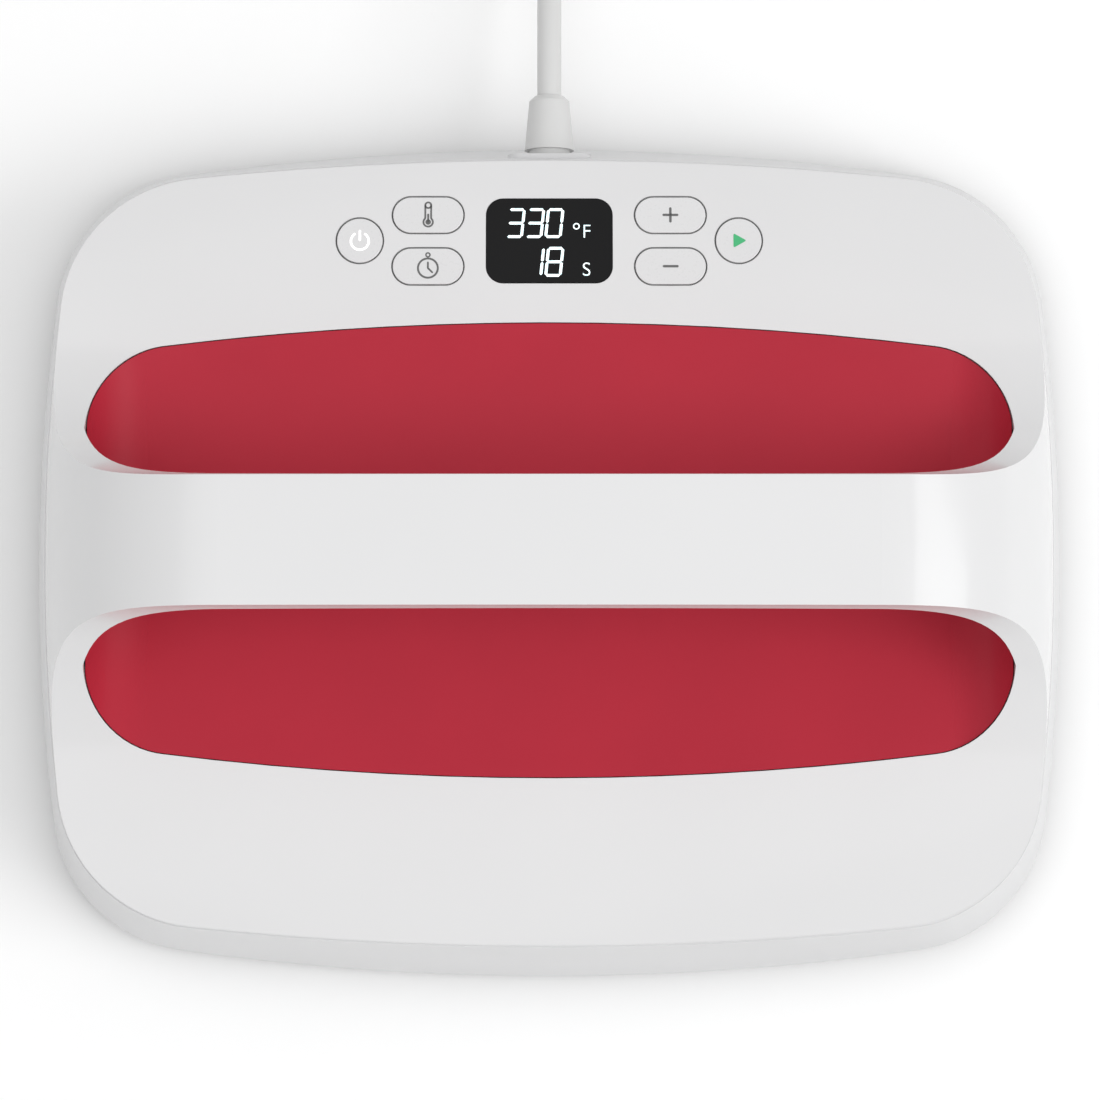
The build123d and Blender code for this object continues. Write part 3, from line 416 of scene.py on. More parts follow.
@dataclass(frozen=True)
class Fibrous(Finish):
    """Felted wool."""

    light: tuple = (0.75, 0.71, 0.6)
    fibre: float = 260.0
    roughness: float = 0.95
    depth: float = 0.0004

    def fill(self, nodes: NodeWriter, shader: bpy.types.Node) -> None:
        """Fibres on colour and bump over a rough shader.

        Args:
            nodes: Writer into the material's node tree.
            shader: The Principled node.
        """
        fibres = self.effect(nodes, FibreField, Fibre_Size=self.fibre, Dark=opaque(self.colour),
                             Light=opaque(self.light)).outputs
        self.coat_with(nodes, shader, self.depth, Base_Color=fibres["Colour"], Roughness=self.roughness,
                       Height=fibres["Height"])


@dataclass(frozen=True)
class CircuitBoard(Finish):
    """Green board: tracks under solder resist, with tinned pads."""

    track: tuple = (0.02, 0.2, 0.08)
    pad: tuple = (0.6, 0.58, 0.5)
    pitch: float = 260.0
    track_width: float = 0.06
    pad_pitch: float = 190.0
    pad_edge: tuple = (0.16, 0.14)
    roughness: float = 0.35
    depth: float = 0.00005

    def fill(self, nodes: NodeWriter, shader: bpy.types.Node) -> None:
        """Brick-patterned tracks and round pads in two colours.

        Args:
            nodes: Writer into the material's node tree.
            shader: The Principled node.
        """
        place = nodes.place()
        board = opaque(self.colour)
        tracks = nodes.node("ShaderNodeTexBrick", {
            "Vector": place, "Scale": self.pitch, "Mortar Size": self.track_width,
            "Color1": board, "Color2": board, "Mortar": opaque(self.track)}).outputs
        dots = nodes.node("ShaderNodeTexVoronoi", {"Vector": place, "Scale": self.pad_pitch})
        pads = nodes.spread(dots.outputs["Distance"], *self.pad_edge)
        colour = nodes.blend(pads, tracks["Color"], opaque(self.pad))
        self.coat_with(nodes, shader, self.depth, Base_Color=colour, Metallic=pads,
                       Roughness=self.roughness, Height=tracks["Fac"])


@dataclass(frozen=True)
class Ribbed(Finish):
    """Flat cable of parallel wires, or a coil of wire, ribbed along one axis."""

    # Painted shade: the colour given to the valleys between ribs, darker than the wires.
    groove: tuple = (0.15, 0.15, 0.15)
    ribs: float = 500.0
    axis: str = "X"
    waver: float = 0.4
    roughness: float = 0.5
    depth: float = 0.0002

    def fill(self, nodes: NodeWriter, shader: bpy.types.Node) -> None:
        """Wave texture on bump, and on colour as painted shade: darker in the valleys between the ribs.

        Args:
            nodes: Writer into the material's node tree.
            shader: The Principled node.
        """
        fed = {"Vector": nodes.place(), "Scale": self.ribs, "Distortion": self.waver}
        ribs = nodes.node("ShaderNodeTexWave", fed, bands_direction=self.axis).outputs["Fac"]
        colour = nodes.blend(ribs, opaque(self.groove), opaque(self.colour))
        self.coat_with(nodes, shader, self.depth, Base_Color=colour, Roughness=self.roughness, Height=ribs)


@dataclass(frozen=True)
class Ink(Moulded):
    """Screen-printed ink with slightly uneven cover."""

    roughness: float = 0.45
    rough_change: float = 0.1
    grain: float = 2500.0
    depth: float = 0.00001
    tint_change: float = 0.12


@dataclass(frozen=True)
class Glow(Finish):
    """Glowing flat print, a little uneven from end to end: a lit segment of the display, and painted glow on
    the power sign.
    """

    dim: tuple = (0.55, 0.8, 0.86)
    strength: float = 1.0
    cloud_size: float = 900.0
    cloud_ends: tuple = (0.35, 0.55)
    roughness: float = 0.5

    def fill(self, nodes: NodeWriter, shader: bpy.types.Node) -> None:
        """Emission whose colour varies slowly between two tints.

        Args:
            nodes: Writer into the material's node tree.
            shader: The Principled node.
        """
        cloud = nodes.node(NOISE, {"Vector": nodes.place(), "Scale": self.cloud_size}).outputs["Fac"]
        tint = nodes.blend(nodes.spread(cloud, *self.cloud_ends), opaque(self.dim), opaque(self.colour))
        self.coat_with(nodes, shader, 0.0, Base_Color=tint, Emission_Color=tint,
                       Emission_Strength=self.strength, Roughness=self.roughness)


@dataclass(frozen=True)
class OneSided(Finish):
    """Pale studio paper that fades to white far out and can be looked through from below."""

    roughness: float = 0.7
    specular: float = 0.1
    grain: float = 40.0
    tint_change: float = 0.004
    fade_start: float = 0.45
    fade_end: float = 2.2

    def fill(self, nodes: NodeWriter, shader: bpy.types.Node) -> None:
        """Paper on its upper side, clear on its lower side.

        Args:
            nodes: Writer into the material's node tree.
            shader: The Principled node.
        """
        paper = self.effect(nodes, MouldedGrain, Colour=opaque(self.colour), Grain_Size=self.grain,
                            Tint_Change=self.tint_change, Roughness=self.roughness).outputs
        self.coat_with(nodes, shader, 0.0, Base_Color=paper["Colour"], Roughness=paper["Roughness"],
                       Specular_IOR_Level=self.specular)
        distance = nodes.node("ShaderNodeVectorMath", {0: nodes.place()}, operation="LENGTH").outputs["Value"]
        fade = nodes.node("ShaderNodeMapRange", {"Value": distance, "From Min": self.fade_start,
                                                 "From Max": self.fade_end}, interpolation_type="SMOOTHSTEP")
        seen = nodes.node("ShaderNodeLightPath").outputs["Is Camera Ray"]
        white = nodes.node("ShaderNodeEmission").outputs["Emission"]
        upper = nodes.mix(nodes.math("MULTIPLY", fade.outputs["Result"], seen), shader.outputs["BSDF"], white)
        below = nodes.node("ShaderNodeNewGeometry").outputs["Backfacing"]
        clear = nodes.node("ShaderNodeBsdfTransparent").outputs["BSDF"]
        nodes.feed(nodes.tree.nodes["Material Output"].inputs["Surface"], nodes.mix(below, upper, clear))


class Finishes:
    """Every finish of the press, by its record slot or its use."""

    white_shell = Moulded("white_gloss_shell", (0.70, 0.70, 0.705), roughness=0.24, specular=0.45,
                          coat=0.25, coat_roughness=0.08, grain=700.0, depth=0.00001, tint_change=0.012)
    white_skirt = Moulded("white_satin_skirt", (0.675, 0.675, 0.68), roughness=0.38, specular=0.35,
                          grain=1100.0, depth=0.00002, tint_change=0.015)
    red_grip = Moulded("red_satin_grip", (0.48, 0.025, 0.048), roughness=0.42, specular=0.32,
                       grain=1500.0, depth=0.00004, tint_change=0.05, rough_change=0.12)
    white_keys = Moulded("white_key_cap", (0.70, 0.70, 0.705), roughness=0.28, specular=0.42,
                         grain=1200.0, depth=0.00001, tint_change=0.015)
    display_black = Moulded("smoked_display_lens", (0.011, 0.011, 0.0115), roughness=0.14, specular=0.07,
                            grain=600.0, depth=0.000004, tint_change=0.1)
    black_rubber = Moulded("black_gasket_rubber", (0.02, 0.02, 0.02), roughness=0.8, grain=1600.0,
                           depth=0.00008)
    black_plastic = Moulded("black_moulded_plastic", (0.02, 0.02, 0.021), roughness=0.5, grain=1400.0,
                            depth=0.00005)
    green_board = CircuitBoard("green_circuit_board", (0.012, 0.11, 0.045))
    green_block = Moulded("green_terminal_plastic", (0.03, 0.24, 0.1), roughness=0.5, grain=1200.0,
                          tint_change=0.06)
    beige_plastic = Moulded("beige_header_plastic", (0.62, 0.55, 0.4), roughness=0.5, grain=1200.0,
                            tint_change=0.06)
    grey_ribbon = Ribbed("grey_ribbon_wires", (0.38, 0.38, 0.39))
    # The coil's darker valley colour is painted shade between its turns.
    yellow_wound = Ribbed("yellow_wound_coil", (0.6, 0.45, 0.1), groove=(0.3, 0.2, 0.04), ribs=700.0,
                          axis="Z")
    steel = Metal("brushed_steel_parts", (0.52, 0.52, 0.53))
    plate_metal = Metal("coated_hot_plate", (0.2, 0.2, 0.205), roughness=0.5, lines=1600.0, tint_change=0.1,
                        metallic=0.7)
    shield_metal = Metal("rolled_heat_shield", (0.72, 0.72, 0.73), roughness=0.3, lines=400.0)
    dark_surround = Moulded("dark_plate_surround", (0.03, 0.03, 0.032), roughness=0.6, grain=1400.0,
                            depth=0.00006)
    mineral_wool = Fibrous("mineral_wool_mat", (0.52, 0.47, 0.36))
    white_lead = Moulded("white_silicone_lead", (0.72, 0.72, 0.7), roughness=0.55, grain=1500.0,
                         tint_change=0.04)
    black_lead = Moulded("black_sensor_lead", (0.02, 0.02, 0.02), roughness=0.55, grain=1500.0)
    white_cord = Moulded("white_cord_jacket", (0.64, 0.64, 0.635), roughness=0.45, specular=0.35,
                         grain=1300.0, depth=0.00003, tint_change=0.03)
    brass_blades = Metal("nickelled_brass_blades", (0.72, 0.58, 0.28), roughness=0.22, lines=900.0)
    # The same grey draws the signs on the keys and the dark line round each key's opening on the deck.
    grey_print = Ink("grey_key_print_and_rim_line", (0.13, 0.13, 0.13))
    green_print = Ink("green_start_print", (0.06, 0.5, 0.2))
    lit_segment = Glow("lit_display_segment", (0.9, 1.0, 1.0), strength=0.85)
    # Painted glow: the power sign's print emits light so that it reads brighter than the white key; there is
    # no lamp behind it.
    lit_sign = Glow("power_sign_painted_glow", (1.0, 1.0, 1.0), dim=(0.94, 0.94, 0.94), strength=0.4)
    studio_floor = OneSided("pale_studio_floor", (0.95, 0.95, 0.95))


# ---- Modelling helpers ----


def select_none() -> None:
    """Deselect everything and leave edit mode."""
    if bpy.context.object is not None and bpy.context.object.mode != "OBJECT":
        bpy.ops.object.mode_set(mode="OBJECT")
    bpy.ops.object.select_all(action="DESELECT")


def take(piece: bpy.types.Object) -> None:
    """Make one piece the only selected and active object.

    Args:
        piece: Mesh object.
    """
    select_none()
    piece.select_set(True)
    bpy.context.view_layer.objects.active = piece


def settle(piece: bpy.types.Object, matrix: Matrix) -> bpy.types.Object:
    """Move a finished piece's mesh into place and leave its object at the origin.

    Args:
        piece: The mesh object, still at its own origin.
        matrix: Where it belongs in the frame.

    Returns:
        The same object.
    """
    piece.data.transform(matrix @ piece.matrix_world)
    piece.matrix_world = Matrix.Identity(4)
    return piece


def join(pieces: list, name: str) -> bpy.types.Object:
    """Join meshes into one named piece.

    Args:
        pieces: Mesh objects.
        name: Name of the joined piece.

    Returns:
        The joined object.
    """
    select_none()
    for piece in pieces:
        piece.select_set(True)
    bpy.context.view_layer.objects.active = pieces[0]
    if len(pieces) > 1:
        bpy.ops.object.join()
    bpy.ops.object.transform_apply(location=True, rotation=True, scale=True)
    joined = bpy.context.object
    joined.name = name
    joined.data.name = name
    return joined


def dress(piece: bpy.types.Object, finish: Finish) -> None:
    """Give a piece one finish in all its material slots.

    Args:
        piece: Mesh object.
        finish: What it is made of.
    """
    if not piece.data.materials:
        piece.data.materials.append(None)
    for index in range(len(piece.data.materials)):
        piece.data.materials[index] = finish.material()


def thicken(piece: bpy.types.Object, relief: float) -> None:
    """Give a flat piece its thickness, half to each side.

    Args:
        piece: Flat mesh object.
        relief: Thickness in millimetres.
    """
    take(piece)
    wall = piece.modifiers.new("relief", "SOLIDIFY")
    wall.thickness = relief * MM
    wall.offset = 0.0
    bpy.ops.object.modifier_apply(modifier=wall.name)


def clear_selection(mesh: bpy.types.Mesh) -> None:
    """Deselect every vertex, edge and face, in object mode."""
    for element in (*mesh.vertices, *mesh.edges, *mesh.polygons):
        element.select = False


class FlatForms:
    """Flat forms of the prints, in millimetres on the XY plane."""

    end_share = 0.49
    end_steps = 6
    ring_sides = 48
    polygon_limit = 8
    polygon_corner = 0.22
    polygon_steps = 4

    @staticmethod
    def soften(offset: float, steps: int) -> None:
        """Bevel all corners of the active piece.

        Args:
            offset: Size of the bevel in millimetres.
            steps: Number of its segments.
        """
        bpy.ops.object.mode_set(mode="EDIT")
        bpy.ops.mesh.select_all(action="SELECT")
        bpy.ops.mesh.bevel(offset=offset * MM, segments=steps, affect="VERTICES")
        bpy.ops.object.mode_set(mode="OBJECT")

    @classmethod
    def plate(cls, size: tuple, x: float, y: float, corner: float, steps: int) -> bpy.types.Object:
        """Rectangle with bevelled corners.

        Args:
            size: Width and height.
            x: Centre across.
            y: Centre along.
            corner: Size of the bevel.
            steps: Segments of the bevel.

        Returns:
            The rectangle.
        """
        select_none()
        bpy.ops.mesh.primitive_plane_add(size=1.0)
        plate = bpy.context.object
        plate.scale = (size[0] * MM, size[1] * MM, 1.0)
        bpy.ops.object.transform_apply(location=False, rotation=False, scale=True)
        cls.soften(corner, steps)
        plate.location = (x * MM, y * MM, 0.0)
        return plate

    @classmethod
    def stroke(cls, length: float, width: float, x: float, y: float, turn: float = 0.0) -> bpy.types.Object:
        """Bar with round ends.

        Args:
            length: Full length.
            width: Width.
            x: Centre across.
            y: Centre along.
            turn: Turn in degrees, counter-clockwise.

        Returns:
            The bar.
        """
        bar = cls.plate((length, width), x, y, cls.end_share * min(width, length), cls.end_steps)
        bar.rotation_euler = (0.0, 0.0, math.radians(turn))
        return bar

    @classmethod
    def ring(cls, radius: float, width: float, x: float, y: float,
             open_degrees: float = 0.0) -> bpy.types.Object:
        """Flat ring, open at its top by an angle.

        Args:
            radius: Middle radius.
            width: Width of the line.
            x: Centre across.
            y: Centre along.
            open_degrees: Size of the opening at the top.

        Returns:
            The ring.
        """
        select_none()
        inner = radius - width / 2
        bpy.ops.mesh.primitive_circle_add(vertices=cls.ring_sides, radius=inner * MM)
        ring = bpy.context.object
        bpy.ops.object.mode_set(mode="EDIT")
        bpy.ops.mesh.select_all(action="SELECT")
        bpy.ops.mesh.extrude_region_move()
        grow = (radius + width / 2) / inner
        bpy.ops.transform.resize(value=(grow, grow, 1.0))
        bpy.ops.object.mode_set(mode="OBJECT")
        if open_degrees:
            clear_selection(ring.data)
            for face in ring.data.polygons:
                bearing = math.degrees(math.atan2(face.center.x, face.center.y))
                face.select = abs(bearing) < open_degrees / 2
            bpy.ops.object.mode_set(mode="EDIT")
            bpy.context.tool_settings.mesh_select_mode = FACE_MODE
            bpy.ops.mesh.delete(type="FACE")
            bpy.context.tool_settings.mesh_select_mode = VERTEX_MODE
            bpy.ops.object.mode_set(mode="OBJECT")
        ring.location = (x * MM, y * MM, 0.0)
        return ring

    @classmethod
    def disc(cls, radius: float, x: float, y: float, sides: int = 32, turn: float = 0.0) -> bpy.types.Object:
        """Flat disc, or regular polygon with softened corners.

        Args:
            radius: Outer radius.
            x: Centre across.
            y: Centre along.
            sides: Number of sides.
            turn: Turn in degrees.

        Returns:
            The disc.
        """
        select_none()
        bpy.ops.mesh.primitive_circle_add(vertices=sides, radius=radius * MM, fill_type="NGON")
        disc = bpy.context.object
        if sides < cls.polygon_limit:
            cls.soften(cls.polygon_corner * radius, cls.polygon_steps)
        disc.rotation_euler = (0.0, 0.0, math.radians(turn))
        disc.location = (x * MM, y * MM, 0.0)
        return disc


# ---- Sub-assemblies ----


@dataclass
class Studio:
    """Camera, floor and soft light."""

    focal_px: float = 4035.2
    frame_px: float = 1100.0
    sensor: float = 36.0
    camera_y: float = -0.0754
    camera_z: float = 1.29781
    tilt_sine: float = 0.058
    centre_px: tuple = (549.3, 562.3)
    near: float = 0.05
    far: float = 50.0
    floor_half: float = 3.0
    floor_cells: int = 8
    floor_drop: float = 0.0002
    sky_strength: float = 0.72
    aim: tuple = (0.0, 0.0, 0.05)
    lights: tuple = (
        ("soft_key_light", (1.8, -0.5, 2.0), 1.6, 27.0),
        ("soft_top_light", (-0.1, 0.1, 2.6), 2.0, 11.0),
    )

    def camera(self) -> bpy.types.Object:
        """Camera above the press, leaning back a little as in the photograph.

        Returns:
            The camera object.
        """
        select_none()
        bpy.ops.object.camera_add(
            location=(0.0, self.camera_y, self.camera_z), rotation=(math.asin(self.tilt_sine), 0.0, 0.0)
        )
        camera = bpy.context.object
        camera.name = "photo_camera"
        camera.data.sensor_width = self.sensor
        camera.data.lens = self.sensor * self.focal_px / self.frame_px
        camera.data.shift_x = (self.frame_px / 2 - self.centre_px[0]) / self.frame_px
        camera.data.shift_y = (self.centre_px[1] - self.frame_px / 2) / self.frame_px
        camera.data.clip_start = self.near
        camera.data.clip_end = self.far
        bpy.context.scene.camera = camera
        return camera

    def floor(self) -> bpy.types.Object:
        """Flat pale floor, a little below the plate so that the two faces don't meet.

        Returns:
            The floor object.
        """
        select_none()
        bpy.ops.mesh.primitive_grid_add(
            x_subdivisions=self.floor_cells, y_subdivisions=self.floor_cells, size=2 * self.floor_half
        )
        floor = bpy.context.object
        floor.name = "studio_floor"
        floor.location.z = -self.floor_drop
        bpy.ops.object.transform_apply(location=True, rotation=True, scale=True)
        dress(floor, Finishes.studio_floor)
        return floor

    def light(self, name: str, place: tuple, size: float, watts: float) -> bpy.types.Object:
        """One soft square light that faces the press.

        Args:
            name: Name of the light.
            place: Its position.
            size: Side of the square, in metres.
            watts: Its power.

        Returns:
            The light object.
        """
        select_none()
        bpy.ops.object.light_add(type="AREA", location=place)
        light = bpy.context.object
        light.name = name
        light.data.shape = "SQUARE"
        light.data.size = size
        light.data.energy = watts
        light.rotation_euler = (Vector(self.aim) - Vector(place)).to_track_quat("-Z", "Y").to_euler()
        return light

    def sky(self) -> None:
        """Even white surroundings: soft as a light, plain white as a backdrop."""
        world = bpy.data.worlds.new("studio_surroundings")
        world.use_nodes = True
        nodes = NodeWriter(world.node_tree)
        white = opaque((1.0, 1.0, 1.0))
        light = nodes.tree.nodes["Background"]
        nodes.feed(light.inputs["Color"], white)
        nodes.feed(light.inputs["Strength"], self.sky_strength)
        backdrop = nodes.node("ShaderNodeBackground", {"Color": white}).outputs["Background"]
        seen = nodes.node("ShaderNodeLightPath").outputs["Is Camera Ray"]
        surface = nodes.mix(seen, light.outputs["Background"], backdrop)
        nodes.feed(nodes.tree.nodes["World Output"].inputs["Surface"], surface)
        bpy.context.scene.world = world

    def build(self) -> None:
        """Light the scene and lay the floor."""
        self.floor()
        self.sky()
        for light in self.lights:
            self.light(*light)
        bpy.context.scene.view_settings.view_transform = "Standard"
        bpy.context.scene.view_settings.look = "None"
        log.info("studio: floor, surroundings and %d soft lights", len(self.lights))


@dataclass
class PowerCord:
    """Free mains cord from the strain relief to the plug, with its stored coil."""

    diameter: float = 7.6 * MM
    exit: tuple = (0.0, 144.608, 38.0)
    lead: tuple = ((171.608, 38.0), (205.608, 17.0), (240.608, 4.85), (268.0, 4.85))
    coil_y: float = 275.6
    coil_low: float = 4.85
    coil_high: float = 12.95
    turn_radius: float = 54.0
    turn_step: float = 4.05
    half_turns: int = 10
    steps: int = 8
    tail: tuple = ((-69.7, 329.6), (-95.7, 329.6), (-121.7, 324.6))
    length: float = 1.66
    order: int = 3
    steps_along: int = 8
    steps_round: int = 6

    def turns(self) -> list:
        """Control points of the coil, by formula, in millimetres.

        Returns:
            Points around each half turn, pushed out so that the curve has the turn's radius.
        """
        points = []
        centre_x = -self.turn_radius
        radius = self.turn_radius
        side = 1
        height = self.coil_low
        middle = self.half_turns // 2
        push = 1.0 / math.cos(math.pi / (2 * self.steps))
        for k in range(self.half_turns + 1):
            last = self.steps // 2 if k == self.half_turns else self.steps
            for step in range(last):
                share = (step + 0.5) / self.steps
                turn = math.pi * share
                rise = (self.coil_high - self.coil_low) * share if k == middle else 0.0
                reach = radius * push
                points.append((
                    centre_x + side * reach * math.cos(turn),
                    self.coil_y + side * reach * math.sin(turn),
                    height + rise,
                ))
            if k == middle:
                height = self.coil_high
            change = -self.turn_step if k < middle else self.turn_step
            centre_x += side * change
            radius += change
            side = -side
        return points

    def route(self) -> list:
        """Put the cord's stretches in a row.

        Returns:
            Control points from the exit to the plug, in millimetres.
        """
        start = [self.exit] + [(0.0, y, z) for y, z in self.lead]
        entry = [(0.0, self.coil_y, self.coil_low)]
        end = [(x, y, self.coil_high) for x, y in self.tail]
        return start + entry + self.turns() + end

    def build(self) -> bpy.types.Object:
        """Returns:
            The curve object.
        """
        curve = bpy.data.curves.new("power_cord", "CURVE")
        curve.dimensions = "3D"
        spline = curve.splines.new("NURBS")
        points = self.route()
        spline.points.add(len(points) - 1)
        for point, place in zip(spline.points, points):
            point.co = (place[0] * MM, place[1] * MM, place[2] * MM, 1.0)
        spline.order_u = self.order
        spline.use_endpoint_u = True
        spline.resolution_u = self.steps_along
        curve.bevel_depth = self.diameter / 2
        curve.bevel_resolution = self.steps_round
        curve.use_fill_caps = True
        cord = bpy.data.objects.new("power_cord", curve)
        bpy.context.scene.collection.objects.link(cord)
        curve.materials.append(Finishes.white_cord.material())
        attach(cord, Body.PRESS.value)
        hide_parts("cord_lead", "cord_coil", "cord_tail")
        log.info("power_cord: %d control points", len(points))
        return cord


@dataclass
class Panel:
    """The crowned deck that carries the keys and the display."""

    deck_radius: float = 660.0
    deck_apex: float = 71.0
    panel_y: float = 95.4

    def plane(self, x: float, y: float, lift: float) -> Matrix:
        """Place on the deck, lifted along its normal.

        Args:
            x: Millimetres across the deck.
            y: Millimetres towards the back.
            lift: Millimetres above the deck.

        Returns:
            Matrix from the deck's own axes, in metres, to the frame.
        """
        tilt = math.asin(y / self.deck_radius)
        height = self.deck_apex - self.deck_radius + math.sqrt(self.deck_radius**2 - y**2)
        turn = Matrix.Rotation(-tilt, 4, "X")
        base = Matrix.Translation(Vector((x, y, height)) * MM)
        return base @ turn @ Matrix.Translation((0.0, 0.0, lift * MM))


# Each form names its maker in FlatForms and then the values for it, in order.
SIGN_FORMS = {
    Sign.POWER: (("ring", 2.75, 0.68, 0.0, -0.2, 62.0), ("stroke", 3.5, 0.68, 0.0, 1.6, 90.0)),
    Sign.THERMOMETER: (
        ("stroke", 4.6, 0.55, -0.9, 1.0, 90.0),
        ("stroke", 4.6, 0.55, 0.9, 1.0, 90.0),
        ("ring", 0.9, 0.55, 0.0, 3.1),
        ("ring", 1.45, 0.55, 0.0, -2.3, 72.0),
        ("disc", 0.85, 0.0, -2.3),
        ("stroke", 2.8, 0.6, 0.0, -1.0, 90.0),
    ),
    Sign.STOPWATCH: (
        ("ring", 3.05, 0.6, 0.0, -0.6),
        ("ring", 0.62, 0.45, 0.0, 3.6),
        ("stroke", 2.3, 0.55, 0.0, 0.3, 90.0),
        ("stroke", 2.2, 0.55, 0.75, -1.35, -45.0),
    ),
    Sign.PLUS: (("stroke", 4.9, 0.75, 0.0, 0.0), ("stroke", 4.9, 0.75, 0.0, 0.0, 90.0)),
    Sign.MINUS: (("stroke", 4.9, 0.75, 0.0, 0.0),),
    Sign.START: (("disc", 2.7, -0.3, 0.0, 3, -90.0),),
}


@dataclass
class KeyPrints:
    """Thin printed signs on the six keys, each riding on its key."""

    panel: Panel
    key_proud: float = 0.2
    relief: float = 0.05
    clearance: float = 0.005
    round_x: float = 58.3
    pill_x: float = 37.3
    half_pitch: float = 8.1
    round_radius: float = 7.05
    pill_width: float = 21.7
    pill_depth: float = 11.4
    key_gap: float = 0.25
    outline_width: float = 0.2

    def key(self, sign: Sign, x: float, y: float, body: Body, finish: Finish) -> bpy.types.Object:
        """Print one sign on its key.

        Args:
            sign: Which sign.
            x: Key's centre across, in millimetres.
            y: Key's centre along, in millimetres.
            body: The key's body.
            finish: The ink.

        Returns:
            The printed piece.
        """
        forms = [getattr(FlatForms, kind)(*sizes) for kind, *sizes in SIGN_FORMS[sign]]
        piece = join(forms, f"{sign.value}_sign")
        thicken(piece, self.relief)
        settle(piece, self.panel.plane(x, y, self.key_proud + self.relief / 2 + self.clearance))
        dress(piece, finish)
        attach(piece, body.value)
        log.info("%s on %s", piece.name, body.value)
        return piece

    def outline(self, name: str, radius: float, half_run: float) -> bpy.types.Object:
        """Thin dark grey line round a key's opening, flat at the origin.

        Args:
            name: Name of the piece.
            radius: Inner radius of the line's round ends, in millimetres.
            half_run: Half length of the straight sides, 0 for a round key.

        Returns:
            The line as a mesh object.
        """
        line = FlatForms.ring(radius + self.outline_width / 2, self.outline_width, 0.0, 0.0)
        take(line)
        ends = (-1, 1) if half_run else ()
        for side in ends:
            clear_selection(line.data)
            for vertex in line.data.vertices:
                vertex.select = side * vertex.co.x > NEAR_ZERO
            bpy.ops.object.mode_set(mode="EDIT")
            bpy.context.tool_settings.mesh_select_mode = VERTEX_MODE
            bpy.ops.transform.translate(value=(side * half_run * MM, 0.0, 0.0))
            bpy.ops.object.mode_set(mode="OBJECT")
        thicken(line, self.relief)
        line.name = name
        return line

    def outlines(self) -> None:
        """Draw the dark grey line round each key's opening: two forms, copied to the six places."""
        y = self.panel.panel_y
        round_line = self.outline("round_line", self.round_radius + self.key_gap, 0.0)
        pill_line = self.outline("pill_line", self.pill_depth / 2 + self.key_gap,
                                 (self.pill_width - self.pill_depth) / 2)
        places = (
            (round_line, "power_outline", -self.round_x, y),
            (pill_line, "temperature_outline", -self.pill_x, y + self.half_pitch),
            (pill_line, "timer_outline", -self.pill_x, y - self.half_pitch),
            (pill_line, "plus_outline", self.pill_x, y + self.half_pitch),
            (pill_line, "minus_outline", self.pill_x, y - self.half_pitch),
            (round_line, "start_outline", self.round_x, y),
        )
        for model, name, x, place_y in places:
            line = model.copy()
            line.data = model.data.copy()
            bpy.context.scene.collection.objects.link(line)
            line.name = name
            # Dark grey line laid on the deck at the edge of the key's opening.
            settle(line, self.panel.plane(x, place_y, self.relief / 2 + self.clearance))
            dress(line, Finishes.grey_print)
            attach(line, Body.PRESS.value)
            log.info("%s on the deck", line.name)
        for model in (round_line, pill_line):
            bpy.data.objects.remove(model)

    def build(self) -> None:
        """Draw the lines round the keys' openings and print all six signs."""
        self.outlines()
        y = self.panel.panel_y
        upper, lower = y + self.half_pitch, y - self.half_pitch
        grey = Finishes.grey_print
        # The power sign is drawn with painted glow, brighter than the key it sits on.
        self.key(Sign.POWER, -self.round_x, y, Body.POWER, Finishes.lit_sign)
        self.key(Sign.THERMOMETER, -self.pill_x, upper, Body.TEMPERATURE, grey)
        self.key(Sign.STOPWATCH, -self.pill_x, lower, Body.TIMER, grey)
        self.key(Sign.PLUS, self.pill_x, upper, Body.PLUS, grey)
        self.key(Sign.MINUS, self.pill_x, lower, Body.MINUS, grey)
        self.key(Sign.START, self.round_x, y, Body.START, Finishes.green_print)


# Lit bars of each figure: a at the top, b to f clockwise from it, g in the middle.
SEGMENTS = {"0": "abcdef", "1": "bc", "3": "abcdg", "8": "abcdefg"}


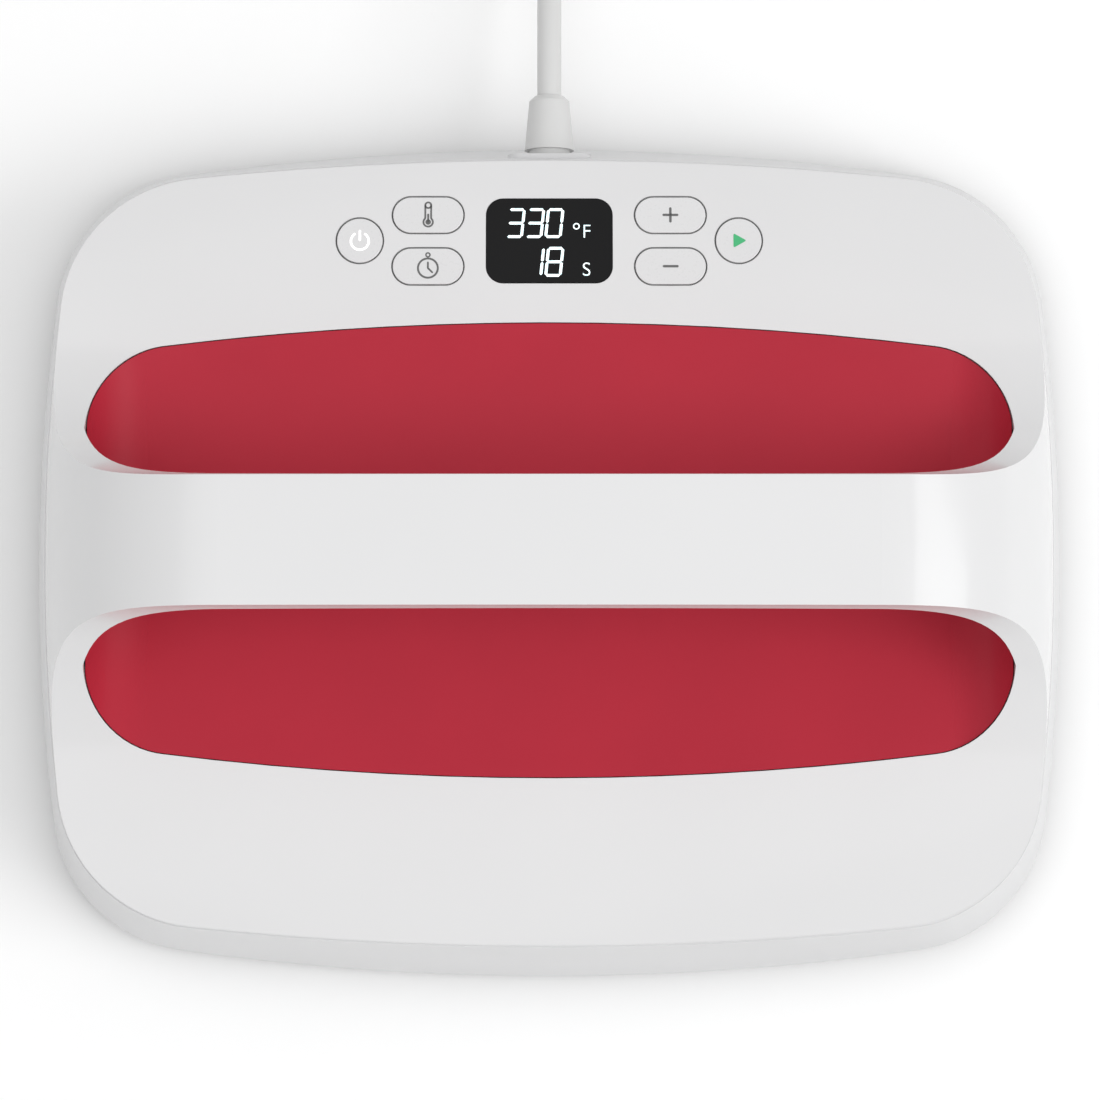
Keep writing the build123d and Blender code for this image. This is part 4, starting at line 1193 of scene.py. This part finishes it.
@dataclass
class DisplayDigits:
    """Lit readout on the lens: two rows of slanted seven-segment digits and their units."""

    panel: Panel
    digit_width: float = 5.3
    digit_height: float = 9.5
    bar: float = 0.85
    gap: float = 0.26
    slant: float = 0.1
    lift: float = 0.03
    relief: float = 0.04
    point: float = 0.42
    upper_y: float = 5.6
    lower_y: float = -6.75
    upper_figures: tuple = (("3", -10.35), ("3", -4.35), ("0", 1.55))
    lower_figures: tuple = (("1", -4.4), ("8", 1.55))
    unit_size: float = 6.2
    unit_x: float = 10.0
    unit_y: tuple = (0.9, -11.2)
    unit_thinning: float = 0.012
    degree_ring: tuple = (0.86, 0.34, 8.35, 4.6)

    def digit(self, figure: str, x: float, y: float) -> list:
        """Bars of one figure.

        Args:
            figure: The figure shown.
            x: Centre of the figure across.
            y: Centre of the figure along.

        Returns:
            The bars as flat objects.
        """
        half_w = (self.digit_width - self.bar) / 2
        half_h = (self.digit_height - self.bar) / 2
        across = 2 * half_w - self.gap
        along = half_h - self.gap
        places = {
            "a": (across, 0.0, half_h, False),
            "b": (along, half_w, half_h / 2, True),
            "c": (along, half_w, -half_h / 2, True),
            "d": (across, 0.0, -half_h, False),
            "e": (along, -half_w, -half_h / 2, True),
            "f": (along, -half_w, half_h / 2, True),
            "g": (across, 0.0, 0.0, False),
        }
        bars = []
        for label in SEGMENTS[figure]:
            length, dx, dy, upright = places[label]
            size = (self.bar, length) if upright else (length, self.bar)
            bars.append(FlatForms.plate(size, x + dx, y + dy, self.point * self.bar, 1))
        return bars

    def unit(self, text: str, y: float, name: str) -> bpy.types.Object:
        """Unit letter as a flat mesh.

        Args:
            text: The letter.
            y: Baseline along.
            name: Name of the piece.

        Returns:
            The letter as a mesh object.
        """
        select_none()
        bpy.ops.object.text_add()
        letter = bpy.context.object
        letter.data.body = text
        letter.data.size = self.unit_size * MM
        letter.data.offset = -self.unit_thinning * self.unit_size * MM
        letter.data.fill_mode = "BOTH"
        bpy.ops.object.convert(target="MESH")
        letter = bpy.context.object
        letter.name = name
        letter.location = (self.unit_x * MM, y * MM, 0.0)
        return letter

    def row(self, bars: list, name: str, slanted: bool = True) -> bpy.types.Object:
        """Join bars, lean them, thicken them and set them on the lens.

        Args:
            bars: Flat objects.
            name: Name of the piece.
            slanted: True to lean the figures.

        Returns:
            The finished piece.
        """
        piece = join(bars, name)
        if slanted:
            middle = sum(corner[1] for corner in piece.bound_box) / len(piece.bound_box)
            lean = Matrix.Identity(4)
            lean[0][1] = self.slant
            lean[0][3] = -self.slant * middle
            piece.data.transform(lean)
        thicken(piece, self.relief)
        settle(piece, self.panel.plane(0.0, self.panel.panel_y, self.lift + self.relief / 2))
        dress(piece, Finishes.lit_segment)
        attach(piece, Body.PRESS.value)
        log.info("%s lit on the lens", name)
        return piece

    def build(self) -> None:
        """Light both rows and their units."""
        rows = (
            ("temperature_readout", self.upper_figures, self.upper_y),
            ("timer_readout", self.lower_figures, self.lower_y),
        )
        for name, figures, y in rows:
            self.row([bar for figure, x in figures for bar in self.digit(figure, x, y)], name)
        letters = [self.unit("F", self.unit_y[0], "unit_f"), FlatForms.ring(*self.degree_ring)]
        self.row(letters, "temperature_unit", slanted=False)
        self.row([self.unit("S", self.unit_y[1], "unit_s")], "timer_unit", slanted=False)


@dataclass
class CarriedNodes:
    """Finishes for every node that comes from the CAD model."""

    nodes: dict
    record: dict

    def build(self) -> None:
        """Dress each node with the finish named as its record slot."""
        for part in self.record["subparts"]:
            node = self.nodes[part["node"]]
            finish = getattr(Finishes, part["material_slot"])
            dress(node, finish)
            log.info("%s: %s", part["node"], finish.name)


def main() -> None:
    """Build the scene in order: camera, cord, studio, finishes and prints."""
    studio = Studio()
    studio.camera()
    PowerCord().build()
    studio.build()
    CarriedNodes(frame["nodes"], frame["record"]).build()
    panel = Panel()
    KeyPrints(panel).build()
    DisplayDigits(panel).build()


if __name__ == "__main__":
    logging.basicConfig(level=logging.INFO, format="%(name)s: %(message)s")
    main()
